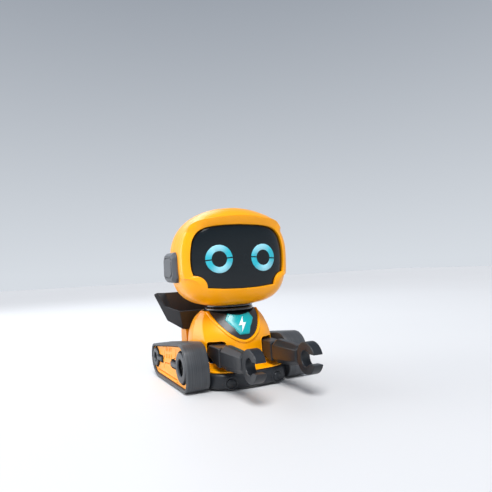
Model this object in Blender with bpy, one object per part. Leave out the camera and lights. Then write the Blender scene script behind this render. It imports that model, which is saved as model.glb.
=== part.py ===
"""Educational coding robot: a helmeted head on a bell-shaped torso, a boat-shaped
chassis between two moulded track units, two ring-clawed arms and a rear hopper.

World frame: the robot faces -Y, its right side is -X, +Z is up and z = 0 is the
floor under its wheels; the origin is under the middle of its bounding box.
Dimensions are millimetres, and y is counted from the middle of the chassis.
"""
import math

import bmesh
import bpy

MM = 0.001
GAP = 0.3
CHASSIS_Y = 24.25

# Head
HEAD_Y = -8.0
HEAD_Z = 89.5
HEAD_W = 41.5
HEAD_FRONT = 28.0
HEAD_REAR = 31.0
HEAD_H = 35.5
HEAD_WALL = 1.6
HEAD_FRONT_POWER = 4.0
HEAD_REAR_POWER = 2.7
HEAD_FACE_ROUND = 0.1
HEAD_COLUMNS = 20
HEAD_ROWS = 13
VISOR_Z = 116.0
VISOR_OUT = 3.4
VISOR_REACH = 3.6
SCREEN_BACK = HEAD_WALL + GAP + 0.4
SCREEN_THICK = 1.8
SCREEN_MID = 88.0
SCREEN_W = 36.6
SCREEN_LOW = 63.6
SCREEN_HIGH = 112.8
SCREEN_SLANT = 2.4
EYE_X = 16.9
EYE_Z = 87.5
EYE_OUT = 9.7
EYE_IN = 5.5
EYE_SPLIT = 0.45
EYE_TILT = math.radians(4.5)
EYE_DEPTH = 3.6
EAR_Y = -3.9
EAR_Z = 83.0
EAR_X = 41.9
EAR_OUT = 45.2
EAR_SKIRT = 0.7

# Neck and torso
NECK_Y = -6.0
POST_R = 7.0
POST_BORE = 4.6
COLLAR_R = 18.2
TORSO_Y = -6.0
TORSO_WALL = 1.6
TORSO_COLUMNS = 16
FACE_COLUMNS = 7
SIDE_COLUMNS = 2
CREASE_Z = (30.0, 50.5)
CREASE_AT = (0.88, 0.95)
CREASE_DEPTH = (0.58, 0.3)
#    z, half width, front depth, rear depth, corner power of the rear
TORSO_STATIONS = (
    (12.0, 29.5, 32.0, 27.0, 3.4),
    (15.0, 29.5, 29.5, 27.0, 3.2),
    (21.0, 29.5, 28.4, 27.0, 3.0),
    (29.0, 29.5, 28.0, 27.0, 2.8),
    (32.0, 29.4, 27.6, 26.6, 2.7),
    (37.5, 28.6, 25.6, 25.2, 2.6),
    (43.7, 26.4, 21.6, 22.4, 2.5),
    (47.0, 24.6, 19.6, 20.6, 2.3),
    (50.5, 20.6, 17.8, 18.0, 2.1),
)
INSERT_LOW = 31.0
INSERT_HIGH = 50.2
INSERT_BACK = 0.8
INSERT_THICK = 1.8
BADGE_LOW = 34.5
BADGE_HIGH = 48.7
BADGE_THICK = 1.0

# Chassis
HULL_W = 29.7
HULL_NOSE = -46.5
HULL_REAR = 38.0
HULL_LOW = 1.5
HULL_TOP = 11.5
HULL_WALL = 1.6
BASE_THICK = 1.6
BAY_Y = -15.0
BAY_W = 46.6
BAY_L = 24.4
CELL_R = 5.25
CELL_L = 44.5
CELL_PITCH = 11.2
CELL_Z = 8.7
WHEEL_Y = 7.0
WHEEL_R = 8.0
TYRE_THICK = 1.4
AXLE_R = 1.2
GEAR_TEETH = 24
PINION_TEETH = 8
GEAR_MODULE = 0.5
MOTOR_R = 4.4
MOTOR_DY = 3.8
MOTOR_DZ = 7.04
ROLLER_Y = -38.0
ROLLER_R = 4.0
BUTTON_Y = 27.0
BUTTON_R = 3.5
SCREW_X = 20.0
SCREW_Y = 30.0
SENSOR_X = 13.0
SENSOR_Y = -33.0
DECK_W = 23.4
RIB_X = 12.0
RIB_THICK = 1.6
SLOT_X = (14.0, 22.6)
CHEEK_X = 5.0

# Tracks
TRACK_IN = 30.0
TRACK_OUT = 46.5
TRACK_WALL = 2.1
PLATE_FACE = 44.8
PLATE_THICK = 2.4
FRONT_HUB = (-27.7, 16.3, 10.0)
REAR_HUB = (34.4, 14.8, 6.6)
HUB_FACE = 46.3

# Arms
ARM_X = 19.3
ARM_PIVOT_Y = -27.0
ARM_Z = 22.3
SHOULDER_HALF = 5.3
SHOULDER_TOP = 28.9
SHOULDER_R = 4.5
SEAM_Y = -44.0
CLAW_Y = -84.2
CLAW_Z = 23.4
CLAW_R = 10.1
CLAW_BORE = 4.9
CLAW_GAP = 6.0
CLAW_THICK = 6.8

# Rear hopper
BIN_WALL = 1.5

# Finishes: base colour, roughness and, for metals, metallic
ORANGE = ((1.0, 0.40, 0.01), 0.3)
CHARCOAL = ((0.05, 0.055, 0.065), 0.43)
NECK_BLACK = ((0.012, 0.013, 0.015), 0.3)
SCREEN_BLACK = ((0.006, 0.008, 0.012), 0.12)
CYAN = ((0.06, 0.62, 0.72), 0.3)
TEAL = ((0.02, 0.42, 0.46), 0.3)
WHITE = ((0.9, 0.92, 0.92), 0.4)
HUB_GREY = ((0.12, 0.13, 0.15), 0.4)
NATURAL = ((0.8, 0.78, 0.7), 0.4)
RUBBER = ((0.02, 0.02, 0.022), 0.6)
BOARD_GREEN = ((0.03, 0.22, 0.08), 0.5)
CELL_BLUE = ((0.05, 0.16, 0.42), 0.35)
BUTTON_RED = ((0.7, 0.06, 0.02), 0.4)
LENS_RED = ((0.3, 0.02, 0.02), 0.2)
STEEL = ((0.58, 0.58, 0.6), 0.32, 1.0)
SPEAKER_GREY = ((0.05, 0.05, 0.05), 0.5, 0.6)

SIDES = (("right", -1), ("left", 1))


def clear_scene():
    """Empties the file."""
    for obj in list(bpy.data.objects):
        bpy.data.objects.remove(obj, do_unlink=True)


def material(name, rgb, roughness, metallic=0.0):
    """Returns a Principled BSDF material."""
    mat = bpy.data.materials.new(name)
    mat.use_nodes = True
    shader = mat.node_tree.nodes["Principled BSDF"]
    shader.inputs["Base Color"].default_value = (*rgb, 1.0)
    shader.inputs["Roughness"].default_value = roughness
    shader.inputs["Metallic"].default_value = metallic
    return mat


def node(name, shape, finish, origin=(0.0, 0.0, 0.0), parent=None):
    """Makes one object from (vertices, faces) in millimetres."""
    verts, faces = shape
    mesh = bpy.data.meshes.new(name)
    local = [[(c - o) * MM for c, o in zip(v, origin)] for v in verts]
    mesh.from_pydata(local, [], faces)
    bm = bmesh.new()
    bm.from_mesh(mesh)
    bmesh.ops.recalc_face_normals(bm, faces=bm.faces)
    bm.to_mesh(mesh)
    bm.free()
    obj = bpy.data.objects.new(name, mesh)
    bpy.context.scene.collection.objects.link(obj)
    base = parent["at"] if parent else (0.0, -CHASSIS_Y, 0.0)
    obj.location = [(o - b) * MM for o, b in zip(origin, base)]
    if parent:
        obj.parent = parent
    if finish:
        obj.data.materials.append(material(name + "_finish", *finish))
        shade(obj)
    return obj


def shade(obj):
    """Shades smooth with sharp creases."""
    obj.data.shade_smooth()
    obj.data.set_sharp_from_angle(angle=math.radians(32))


def pivot(name, at, parent=None):
    """Makes an empty on a joint axis."""
    empty = bpy.data.objects.new(name, None)
    bpy.context.scene.collection.objects.link(empty)
    base = parent["at"] if parent else (0.0, -CHASSIS_Y, 0.0)
    empty.location = [(a - b) * MM for a, b in zip(at, base)]
    if parent:
        empty.parent = parent
    empty["at"] = at
    return empty


def cutter(name, shape):
    """Makes a hidden tool body."""
    obj = node(name, shape, None)
    obj.hide_render = True
    obj.display_type = "WIRE"
    return obj


def carve(obj, shape, label, operation="DIFFERENCE"):
    """Adds one exact Boolean."""
    mod = obj.modifiers.new(label, "BOOLEAN")
    mod.operation = operation
    mod.solver = "EXACT"
    mod.object = cutter("tool_" + obj.name + "_" + label, shape)


def thicken(obj, thickness):
    """Gives a surface a wall on its inner side."""
    mod = obj.modifiers.new("wall", "SOLIDIFY")
    mod.thickness = thickness * MM
    mod.offset = -1.0
    mod.use_even_offset = True


def place(axis, a, b, h):
    """Puts outline point (a, b) at height h along an axis."""
    if axis == "X":
        return (h, a, b)
    if axis == "Y":
        return (a, h, b)
    return (a, b, h)


def loft(rings, closed_ends=True, loop=False):
    """Skins equal rings of points."""
    count = len(rings[0])
    verts = [p for ring in rings for p in ring]
    faces = []
    spans = len(rings) if loop else len(rings) - 1
    for j in range(spans):
        k = (j + 1) % len(rings)
        for i in range(count):
            n = (i + 1) % count
            faces.append((j * count + i, j * count + n, k * count + n, k * count + i))
    if closed_ends and not loop:
        faces.append(tuple(range(count)))
        faces.append(tuple((len(rings) - 1) * count + i for i in range(count)))
    return verts, faces


def prism(outline, axis, low, high):
    """Extrudes an outline."""
    ends = (low, high)
    return loft([[place(axis, a, b, h) for a, b in outline] for h in ends])


def circle(a, b, radius, steps=24, start=0.0):
    """Points of a circle."""
    turn = 2.0 * math.pi / steps
    angles = [start + turn * i for i in range(steps)]
    return [(a + radius * math.cos(t), b + radius * math.sin(t)) for t in angles]


def arc(a, b, radius, start, end, steps):
    """Points of an arc, angles in degrees, both ends included."""
    span = math.radians(end - start) / steps
    angles = [math.radians(start) + span * i for i in range(steps + 1)]
    return [(a + radius * math.cos(t), b + radius * math.sin(t)) for t in angles]


def turned(profile, axis, a, b, steps=18):
    """Solid of revolution from (radius, height) stations."""
    return loft([[place(axis, p, q, h) for p, q in circle(a, b, r, steps)] for r, h in profile])


def turned_ring(profile, axis, a, b, steps=24):
    """Hollow solid of revolution from a closed (radius, height) loop."""
    rings = [[place(axis, p, q, h) for p, q in circle(a, b, r, steps)] for r, h in profile]
    return loft(rings, loop=True)


def box(x0, x1, y0, y1, z0, z1):
    """Box between corners."""
    return prism([(x0, y0), (x1, y0), (x1, y1), (x0, y1)], "Z", z0, z1)


def rounded(points, radius, steps=3):
    """Rounds the corners of an outline."""
    out = []
    count = len(points)
    for i, (px, py) in enumerate(points):
        ax, ay = points[i - 1]
        bx, by = points[(i + 1) % count]
        la = math.hypot(ax - px, ay - py)
        lb = math.hypot(bx - px, by - py)
        r = min(radius, 0.45 * la, 0.45 * lb)
        start = (px + (ax - px) * r / la, py + (ay - py) * r / la)
        end = (px + (bx - px) * r / lb, py + (by - py) * r / lb)
        for k in range(steps + 1):
            t = k / steps
            w0 = (1 - t) ** 2
            w1 = 2 * t * (1 - t)
            w2 = t * t
            x = w0 * start[0] + w1 * px + w2 * end[0]
            y = w0 * start[1] + w1 * py + w2 * end[1]
            out.append((x, y))
    return out


def mirrored(half):
    """Closes a right-half outline across x = 0, keeping axis points single."""
    back = [(-x, y) for x, y in reversed(half) if x > 0.001]
    return half + back


def blend(z, stations):
    """Linear read of a station table."""
    for low, high in zip(stations, stations[1:]):
        if z <= high[0]:
            t = max(0.0, (z - low[0]) / (high[0] - low[0]))
            return [a + t * (b - a) for a, b in zip(low[1:], high[1:])]
    return list(stations[-1][1:])


def superarc(u, power):
    """Height of a superellipse quarter at u."""
    return max(0.0, 1.0 - abs(u) ** power) ** (1.0 / power)


# ------------------------------------------------------------------ head

def head_size(z):
    """Half width, front depth and rear depth of the helmet at z."""
    h = (z - HEAD_Z) / HEAD_H
    if h > 0:
        return HEAD_W * superarc(h, 2.2), HEAD_FRONT * superarc(h, 3.2), HEAD_REAR * superarc(h, 2.3)
    return HEAD_W * superarc(h, 3.2), HEAD_FRONT * superarc(h, 4.0), HEAD_REAR * superarc(h, 2.6)


def head_front_y(x, z, visor=True):
    """Front surface of the helmet."""
    width, front, _ = head_size(z)
    u = min(1.0, abs(x) / width) if width > 0 else 1.0
    depth = front * superarc(u, HEAD_FRONT_POWER) * (1.0 - HEAD_FACE_ROUND * u * u)
    if visor:
        depth += VISOR_OUT * math.exp(-((z - VISOR_Z) / VISOR_REACH) ** 2) * superarc(u, 3.0)
    return HEAD_Y - depth


def head_rows():
    """Heights of the helmet rings."""
    out = []
    for j in range(1, HEAD_ROWS):
        phi = math.pi * (j / HEAD_ROWS - 0.5)
        s = math.sin(phi)
        out.append(HEAD_Z + HEAD_H * math.copysign(abs(s) ** 0.78, s))
    return out


def head_surface(rear):
    """Half of the helmet as an open surface."""
    rings = []
    columns = [2.0 * i / HEAD_COLUMNS - 1.0 for i in range(HEAD_COLUMNS + 1)]
    seam = HEAD_Y + (GAP if rear else 0.0)
    for z in head_rows():
        width, _, back = head_size(z)
        ring = []
        for s in columns:
            u = math.sin(0.5 * math.pi * s)
            if rear:
                y = seam + back * superarc(u, HEAD_REAR_POWER)
            else:
                y = head_front_y(u * width, z)
            ring.append((u * width, y, z))
        rings.append(ring)
    count = len(columns)
    verts = [p for ring in rings for p in ring]
    faces = []
    for j in range(len(rings) - 1):
        for i in range(count - 1):
            a = j * count + i
            faces.append((a, a + 1, a + count + 1, a + count))
    poles = ((0.0, seam, HEAD_Z - HEAD_H), (0.0, seam, HEAD_Z + HEAD_H))
    for p, pole in enumerate(poles):
        start = 0 if p == 0 else (len(rings) - 1) * count
        tip = len(verts)
        verts.append(pole)
        for i in range(count - 1):
            faces.append((tip, start + i, start + i + 1))
    return verts, faces


def face_outline():
    """Face window: cheek notches at the lower corners, rounded above."""
    half = [(0.0, 66.0), (13.0, 66.3), (25.9, 67.6)]
    for k in range(1, 6):
        t = math.radians(18.0 * k)
        half.append((34.5 - 8.6 * math.cos(t), 67.6 + 8.8 * math.sin(t)))
    half += [(36.2, 85.4), (35.7, 94.0), (33.9, 101.8), (29.4, 107.6), (20.0, 110.8), (0.0, 111.7)]
    return mirrored(half)


def screen_y(x, z):
    """Front of the face screen: the helmet's front moved inwards by its wall."""
    step = 0.2
    y = head_front_y(x, z, visor=False)
    dx = (head_front_y(abs(x) + step, z, visor=False) - y) / step
    dz = (head_front_y(x, z + step, visor=False) - y) / step
    return y + SCREEN_BACK * min(SCREEN_SLANT, math.sqrt(1.0 + dx * dx + dz * dz))


def plate_patch(half_width, z_low, z_high, surface, thickness, columns, rows):
    """Curved plate whose half width follows z."""
    front = []
    back = []
    for j in range(rows + 1):
        z = z_low + (z_high - z_low) * j / rows
        w = half_width(z)
        for i in range(columns + 1):
            x = w * (2.0 * i / columns - 1.0)
            y = surface(x, z)
            front.append((x, y, z))
            back.append((x, y + thickness, z))
    verts = front + back
    stride = columns + 1
    offset = len(front)
    faces = []
    for j in range(rows):
        for i in range(columns):
            a = j * stride + i
            b = a + offset
            faces.append((a, a + 1, a + stride + 1, a + stride))
            faces.append((b, b + stride, b + stride + 1, b + 1))
    for i in range(columns):
        top = rows * stride + i
        faces.append((i, i + offset, i + 1 + offset, i + 1))
        faces.append((top, top + 1, top + 1 + offset, top + offset))
    for j in range(rows):
        left = j * stride
        right = left + columns
        faces.append((left, left + stride, left + stride + offset, left + offset))
        faces.append((right, right + offset, right + stride + offset, right + stride))
    return verts, faces


def screen_half_width(z):
    """Half width of the screen plate."""
    if z > SCREEN_MID:
        return SCREEN_W * superarc((z - SCREEN_MID) / 26.0, 3.6)
    return SCREEN_W * superarc((z - SCREEN_MID) / 25.2, 5.0)


def eye_arc(side, upper, grow=0.0, near=0.0, far=EYE_DEPTH):
    """Half ring of an eye, following the screen surface."""
    steps = 10
    lift = (1 if upper else -1) * (EYE_SPLIT - grow)
    tilt = side * EYE_TILT
    verts = []
    for i in range(steps + 1):
        t = math.pi * i / steps
        for radius in (EYE_IN - grow, EYE_OUT + grow):
            split = math.asin(min(0.9, abs(lift) / radius))
            a = split + t * (math.pi - 2.0 * split) / math.pi
            a = a if upper else -a
            x0 = radius * math.cos(a)
            z0 = radius * math.sin(a)
            x = side * EYE_X + x0 * math.cos(tilt) + z0 * math.sin(tilt)
            z = EYE_Z - x0 * math.sin(tilt) + z0 * math.cos(tilt)
            verts.append((x, screen_y(x, z) + near, z))
            verts.append((x, screen_y(x, z) + far, z))
    rings = [[verts[4 * i], verts[4 * i + 2], verts[4 * i + 3], verts[4 * i + 1]]
             for i in range(steps + 1)]
    return loft(rings)


def build_head(base):
    """Helmet group."""
    front = node("head_front_shell", head_surface(False), ORANGE, parent=base)
    thicken(front, HEAD_WALL)
    carve(front, prism(face_outline(), "Y", -48.0, -14.0), "window")
    neck_hole = prism(circle(0.0, NECK_Y, 10.0, 32), "Z", 48.0, 62.0)
    carve(front, neck_hole, "neck")
    rear = node("head_rear_shell", head_surface(True), ORANGE, parent=base)
    thicken(rear, HEAD_WALL)
    carve(rear, neck_hole, "neck")
    build_face(base)
    build_ears(base)
    disc = [(17.2, 52.9), (17.2, 53.6), (9.6, 53.6), (9.6, 61.0), (7.3, 61.0), (7.3, 52.9)]
    table = turned_ring(disc, "Z", 0.0, NECK_Y)
    node("neck_turntable", table, NECK_BLACK, parent=base)


def build_face(base):
    """Screen, eye light guides and their board."""
    patch = plate_patch(screen_half_width, SCREEN_LOW, SCREEN_HIGH, screen_y, SCREEN_THICK, 16, 8)
    screen = node("face_screen", patch, SCREEN_BLACK, parent=base)
    for label, side in SIDES:
        for half, upper in (("upper", True), ("lower", False)):
            name = "eye_" + half + "_" + label
            node(name, eye_arc(side, upper), CYAN, parent=base)
            carve(screen, eye_arc(side, upper, GAP * 0.9, -3.0, 6.0), name)
    board = prism(rounded([(-30.0, 76.0), (30.0, 76.0), (30.0, 99.0), (-30.0, 99.0)], 2.0), "Y",
                  -20.0, -18.4)
    node("eye_light_board", board, BOARD_GREEN, parent=base)


def build_ears(base):
    """Side caps of the helmet."""
    low = [(-12.5, -7.4), (-9.4, -10.8), (9.0, -10.4), (12.5, -7.0), (12.5, 6.4), (9.4, 10.6),
           (-9.8, 10.8), (-12.5, 7.6)]
    for label, side in SIDES:
        rings = []
        for across, tall, x in ((1.0, 1.0, EAR_X), (1.0, 1.0, EAR_X + EAR_SKIRT),
                                (0.8, 0.78, EAR_OUT - EAR_SKIRT),
                                (0.68, 0.62, EAR_OUT - EAR_SKIRT), (0.64, 0.58, EAR_OUT)):
            rings.append([(side * x, EAR_Y + a * across, EAR_Z + b * tall) for a, b in low])
        node("ear_cap_" + label, loft(rings), CHARCOAL, parent=base)


# ----------------------------------------------------------------- torso

def crease(z):
    """Place of the front crease at z, as shares of the half width and of the front depth."""
    low, high = CREASE_Z
    t = min(1.0, max(0.0, (z - low) / (high - low)))
    return [a + t * (b - a) for a, b in (CREASE_AT, CREASE_DEPTH)]


def torso_depth(u, z):
    """Depth of the front at u half widths: a crowned face, a crease, then a flat side."""
    at, depth = crease(z)
    u = abs(u)
    if u <= at:
        return 1.0 - (1.0 - depth) * (u / at) ** 2
    return depth * (1.0 - (u - at) / (1.0 - at))


def torso_y(x, z):
    """Front surface of the torso."""
    width, front, _, _ = blend(z, TORSO_STATIONS)
    return TORSO_Y - front * torso_depth(min(1.0, abs(x) / width), z)


def front_columns(z):
    """Columns of the front at z, with one on each crease."""
    at = crease(z)[0]
    face = [at * k / FACE_COLUMNS for k in range(-FACE_COLUMNS, FACE_COLUMNS + 1)]
    side = [at + (1.0 - at) * k / SIDE_COLUMNS for k in range(1, SIDE_COLUMNS + 1)]
    return [-u for u in reversed(side)] + face + side


def torso_surface(rear):
    """Half of the bell as an open surface."""
    columns = [math.sin(math.pi * (i / TORSO_COLUMNS - 0.5)) for i in range(TORSO_COLUMNS + 1)]
    verts = []
    for z, width, front, back, power in TORSO_STATIONS:
        if not rear:
            columns = front_columns(z)
        for u in columns:
            if rear:
                y = TORSO_Y + GAP + back * superarc(u, power)
            else:
                y = TORSO_Y - front * torso_depth(u, z)
            verts.append((u * width, y, z))
    count = len(columns)
    faces = []
    for j in range(len(TORSO_STATIONS) - 1):
        for i in range(count - 1):
            a = j * count + i
            faces.append((a, a + 1, a + count + 1, a + count))
    return verts, faces


def insert_half_width(z):
    """Half width of the chest insert: a U that opens towards the collar."""
    t = (z - INSERT_LOW) / (INSERT_HIGH - INSERT_LOW)
    return 1.0 + 17.0 * (1.0 - max(0.0, 1.0 - t) ** 1.5) ** 0.56


def badge_half_width(z):
    """Half width of the badge: a shield with angled shoulders."""
    stations = ((BADGE_LOW, 3.8), (44.6, 10.9), (BADGE_HIGH, 8.0))
    return blend(z, stations)[0]


def chest_outline(grow):
    """Opening around the chest insert."""
    half = [(0.0, INSERT_LOW - grow)]
    for k in range(9):
        z = INSERT_LOW + (INSERT_HIGH + 3.0 - INSERT_LOW) * k / 8
        half.append((insert_half_width(z) + grow, z - grow * (1 - k / 8)))
    half.append((0.0, INSERT_HIGH + 3.0))
    return mirrored(half)


def arm_window(side):
    """Opening for one shoulder."""
    points = [(13.3, 18.0), (15.5, 15.8), (23.4, 15.8), (25.7, 18.2), (25.7, 28.4), (24.4, 30.4),
              (15.6, 30.9), (13.3, 29.6)]
    return prism([(side * x, z) for x, z in points], "Y", -46.0, -14.0)


def build_torso():
    """Bell, chest and neck."""
    front = node("torso_front_shell", torso_surface(False), ORANGE)
    thicken(front, TORSO_WALL)
    carve(front, prism(chest_outline(GAP), "Y", -50.0, -9.5), "chest")
    for label, side in SIDES:
        carve(front, arm_window(side), "arm_" + label)
    foot = box(-40.0, 40.0, -60.0, 40.0, 5.0, HULL_TOP + GAP)
    carve(front, foot, "foot")
    carve(front, box(-40.0, 40.0, TORSO_Y, TORSO_Y + 10.0, 5.0, 60.0), "seam")
    rear = node("torso_rear_shell", torso_surface(True), ORANGE)
    thicken(rear, TORSO_WALL)
    carve(rear, foot, "foot")
    insert = plate_patch(insert_half_width, INSERT_LOW, INSERT_HIGH,
                         lambda x, z: torso_y(x, z) + INSERT_BACK, INSERT_THICK, 12, 8)
    node("chest_insert", insert, CHARCOAL)
    lift = INSERT_BACK - GAP - BADGE_THICK
    badge = plate_patch(badge_half_width, BADGE_LOW, BADGE_HIGH,
                        lambda x, z: torso_y(x, z) + lift, BADGE_THICK, 8, 6)
    node("chest_badge", badge, TEAL)
    build_icon(lift)
    build_neck()
    node("speaker", turned([(9.0, 13.0), (9.0, 14.2), (6.5, 14.2), (6.5, 17.0)], "Y", 0.0, 32.0),
         SPEAKER_GREY)
    board = prism(rounded([(-13.0, -26.0), (13.0, -26.0), (13.0, 4.0), (-13.0, 4.0)], 1.5), "Z",
                  16.6, 18.2)
    node("main_board", board, BOARD_GREEN)


def build_icon(lift):
    """Raised bolt symbol on the badge."""
    points = [(1.4, 46.0), (-2.6, 40.6), (-0.4, 40.6), (-1.6, 36.6), (2.8, 42.4), (0.4, 42.4)]
    front = [(x, torso_y(x, z) + lift - GAP - 0.6, z) for x, z in points]
    back = [(x, torso_y(x, z) + lift - GAP, z) for x, z in points]
    node("badge_icon", loft([front, back]), WHITE)


def build_neck():
    """Fixed collar and the hollow post the head turns on."""
    ring = [(COLLAR_R, 50.8), (COLLAR_R, 51.8), (COLLAR_R - 0.6, 52.6), (7.4, 52.6), (7.4, 50.8)]
    node("neck_collar", turned_ring(ring, "Z", 0.0, NECK_Y), CHARCOAL)
    tube = [(POST_R, 44.0), (POST_R, 62.0), (POST_BORE, 62.0), (POST_BORE, 44.0)]
    node("neck_post", turned_ring(tube, "Z", 0.0, NECK_Y), NATURAL)


# --------------------------------------------------------------- chassis

def hull_outline(inset=0.0):
    """Boat-shaped plan outline."""
    w = HULL_W - inset
    half = [(0.0, HULL_NOSE + inset)]
    for k in range(1, 7):
        t = math.radians(15.0 * k)
        x = w * math.sin(t) ** 0.8
        y = -31.0 - (-31.0 - HULL_NOSE - inset) * math.cos(t) ** 0.9
        half.append((x, y))
    half += [(w, HULL_REAR - 4.0 - inset), (w - 4.0, HULL_REAR - inset), (0.0, HULL_REAR - inset)]
    return mirrored(half)


def hull_surface():
    """Chassis tub as an open surface, closed by its deck."""
    low = [(x * 0.985, y * 0.985, HULL_LOW) for x, y in hull_outline(0.8)]
    mid = [(x, y, HULL_LOW + 2.0) for x, y in hull_outline()]
    high = [(x, y, HULL_TOP - 1.0) for x, y in hull_outline()]
    top = [(x, y, HULL_TOP) for x, y in hull_outline(1.0)]
    verts, faces = loft([low, mid, high, top], closed_ends=False)
    count = len(low)
    faces.append(tuple(3 * count + i for i in range(count)))
    return verts, faces


def gear_outline(teeth, a, b, phase):
    """Trapezoidal spur gear."""
    pitch_r = 0.5 * GEAR_MODULE * teeth
    tip = pitch_r + 0.42
    root = pitch_r - 0.68
    step = 2.0 * math.pi / teeth
    points = []
    for i in range(teeth):
        c = phase + i * step
        for radius, half in ((root, -0.42), (tip, -0.17), (tip, 0.17), (root, 0.42)):
            t = c + half / radius
            points.append((a + radius * math.cos(t), b + radius * math.sin(t)))
    return points


def build_chassis():
    """Tub, base plate, power bay and underside fittings."""
    tub = node("hull_tub", hull_surface(), CHARCOAL)
    thicken(tub, HULL_WALL)
    carve(tub, box(-DECK_W, DECK_W, -32.0, 18.0, 8.0, 16.0), "deck")
    carve(tub, turned([(AXLE_R + GAP, -40.0), (AXLE_R + GAP, 40.0)], "X", WHEEL_Y, WHEEL_R), "axle")
    plate = prism(hull_outline(3.4), "Z", HULL_LOW, HULL_LOW + BASE_THICK)
    base = node("base_plate", plate, CHARCOAL)
    bay = (-BAY_W / 2, BAY_W / 2, BAY_Y - BAY_L / 2, BAY_Y + BAY_L / 2)
    carve(base, box(*bay, 0.0, 6.0), "bay")
    for label, side in SIDES:
        rib = box(*sorted((side * RIB_X, side * (RIB_X + RIB_THICK))), WHEEL_Y - 3.0, WHEEL_Y + 3.0,
                  HULL_LOW + 0.8, WHEEL_R + 2.2)
        carve(base, rib, "rib_" + label, "UNION")
        slot = box(*sorted(side * x for x in SLOT_X), WHEEL_Y - WHEEL_R - 0.6,
                   WHEEL_Y + WHEEL_R + 0.6, 0.0, 6.0)
        carve(base, slot, "wheel_" + label)
        cheek = box(*sorted((side * CHEEK_X, side * (CHEEK_X + RIB_THICK))), ROLLER_Y - 2.4, ROLLER_Y + 2.4,
                    HULL_LOW + 0.8, ROLLER_R + 2.4)
        carve(base, cheek, "cheek_" + label, "UNION")
        carve(base, prism(circle(side * SCREW_X, SCREW_Y, 2.0, 16), "Z", 0.0, 6.0), "screw_" + label)
    carve(base, turned([(AXLE_R + GAP, -16.0), (AXLE_R + GAP, 16.0)], "X", WHEEL_Y, WHEEL_R), "axle")
    carve(base, box(-4.9, 4.9, ROLLER_Y - 4.6, ROLLER_Y + 4.6, 0.0, 7.0), "roller")
    carve(base, turned([(AXLE_R + GAP, -8.0), (AXLE_R + GAP, 8.0)], "X", ROLLER_Y, ROLLER_R), "pin")
    carve(base, prism(circle(0.0, BUTTON_Y, BUTTON_R + GAP, 18), "Z", 0.0, 6.0), "button")
    carve(base, prism(circle(SENSOR_X, SENSOR_Y, 2.4, 16), "Z", 0.0, 6.0), "eye")
    build_power()
    build_underside()


def build_power():
    """Battery tray, cells, cover and its screw."""
    half_w = BAY_W / 2 - GAP
    half_l = BAY_L / 2 - GAP
    cover = rounded([(-half_w, BAY_Y - half_l), (half_w, BAY_Y - half_l),
                     (half_w, BAY_Y + half_l), (-half_w, BAY_Y + half_l)], 1.2)
    lid = node("battery_cover", prism(cover, "Z", HULL_LOW, HULL_LOW + BASE_THICK), CHARCOAL)
    carve(lid, prism(circle(0.0, BAY_Y, 1.5 + GAP, 16), "Z", 0.0, 6.0), "screw")
    profile = [(1.5, HULL_LOW + 0.2), (1.5, HULL_LOW + 1.2), (0.9, HULL_LOW + 1.8), (0.9, 5.2)]
    node("battery_screw", turned(profile, "Z", 0.0, BAY_Y, 16), STEEL)
    for index, dy in ((1, -0.5), (2, 0.5)):
        y = BAY_Y + dy * CELL_PITCH
        steps = [(CELL_R, -CELL_L / 2), (CELL_R, CELL_L / 2 - 1.2), (1.9, CELL_L / 2 - 1.2),
                 (1.9, CELL_L / 2)]
        node("battery_cell_" + str(index), turned(steps, "X", y, CELL_Z), CELL_BLUE)
    outer = (23.4, 11.9)
    inner = (22.6, 11.1)
    rings = []
    for half, z in ((outer, 3.4), (outer, 11.4), (inner, 11.4), (inner, 3.4)):
        rings.append([(sx * half[0], BAY_Y + sy * half[1], z)
                      for sx, sy in ((-1, -1), (1, -1), (1, 1), (-1, 1))])
    node("battery_tray", loft(rings, loop=True), CHARCOAL)


def build_underside():
    """Line sensor, power button and case screws."""
    node("line_sensor", turned([(2.1, 1.9), (2.1, 4.2), (3.0, 4.2), (3.0, 6.6)], "Z",
                               SENSOR_X, SENSOR_Y, 16), LENS_RED)
    origin = (0.0, BUTTON_Y, HULL_LOW)
    profile = [(BUTTON_R - 0.5, 0.7), (BUTTON_R, 1.1), (BUTTON_R, 3.5), (BUTTON_R + 1.2, 3.5),
               (BUTTON_R + 1.2, 4.4)]
    node("power_button", turned(profile, "Z", 0.0, BUTTON_Y), BUTTON_RED, origin)
    for label, side in SIDES:
        profile = [(1.7, 1.7), (1.7, 2.8), (1.0, 3.2), (1.0, 9.4)]
        node("case_screw_" + label, turned(profile, "Z", side * SCREW_X, SCREW_Y, 16),
             STEEL)


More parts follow.
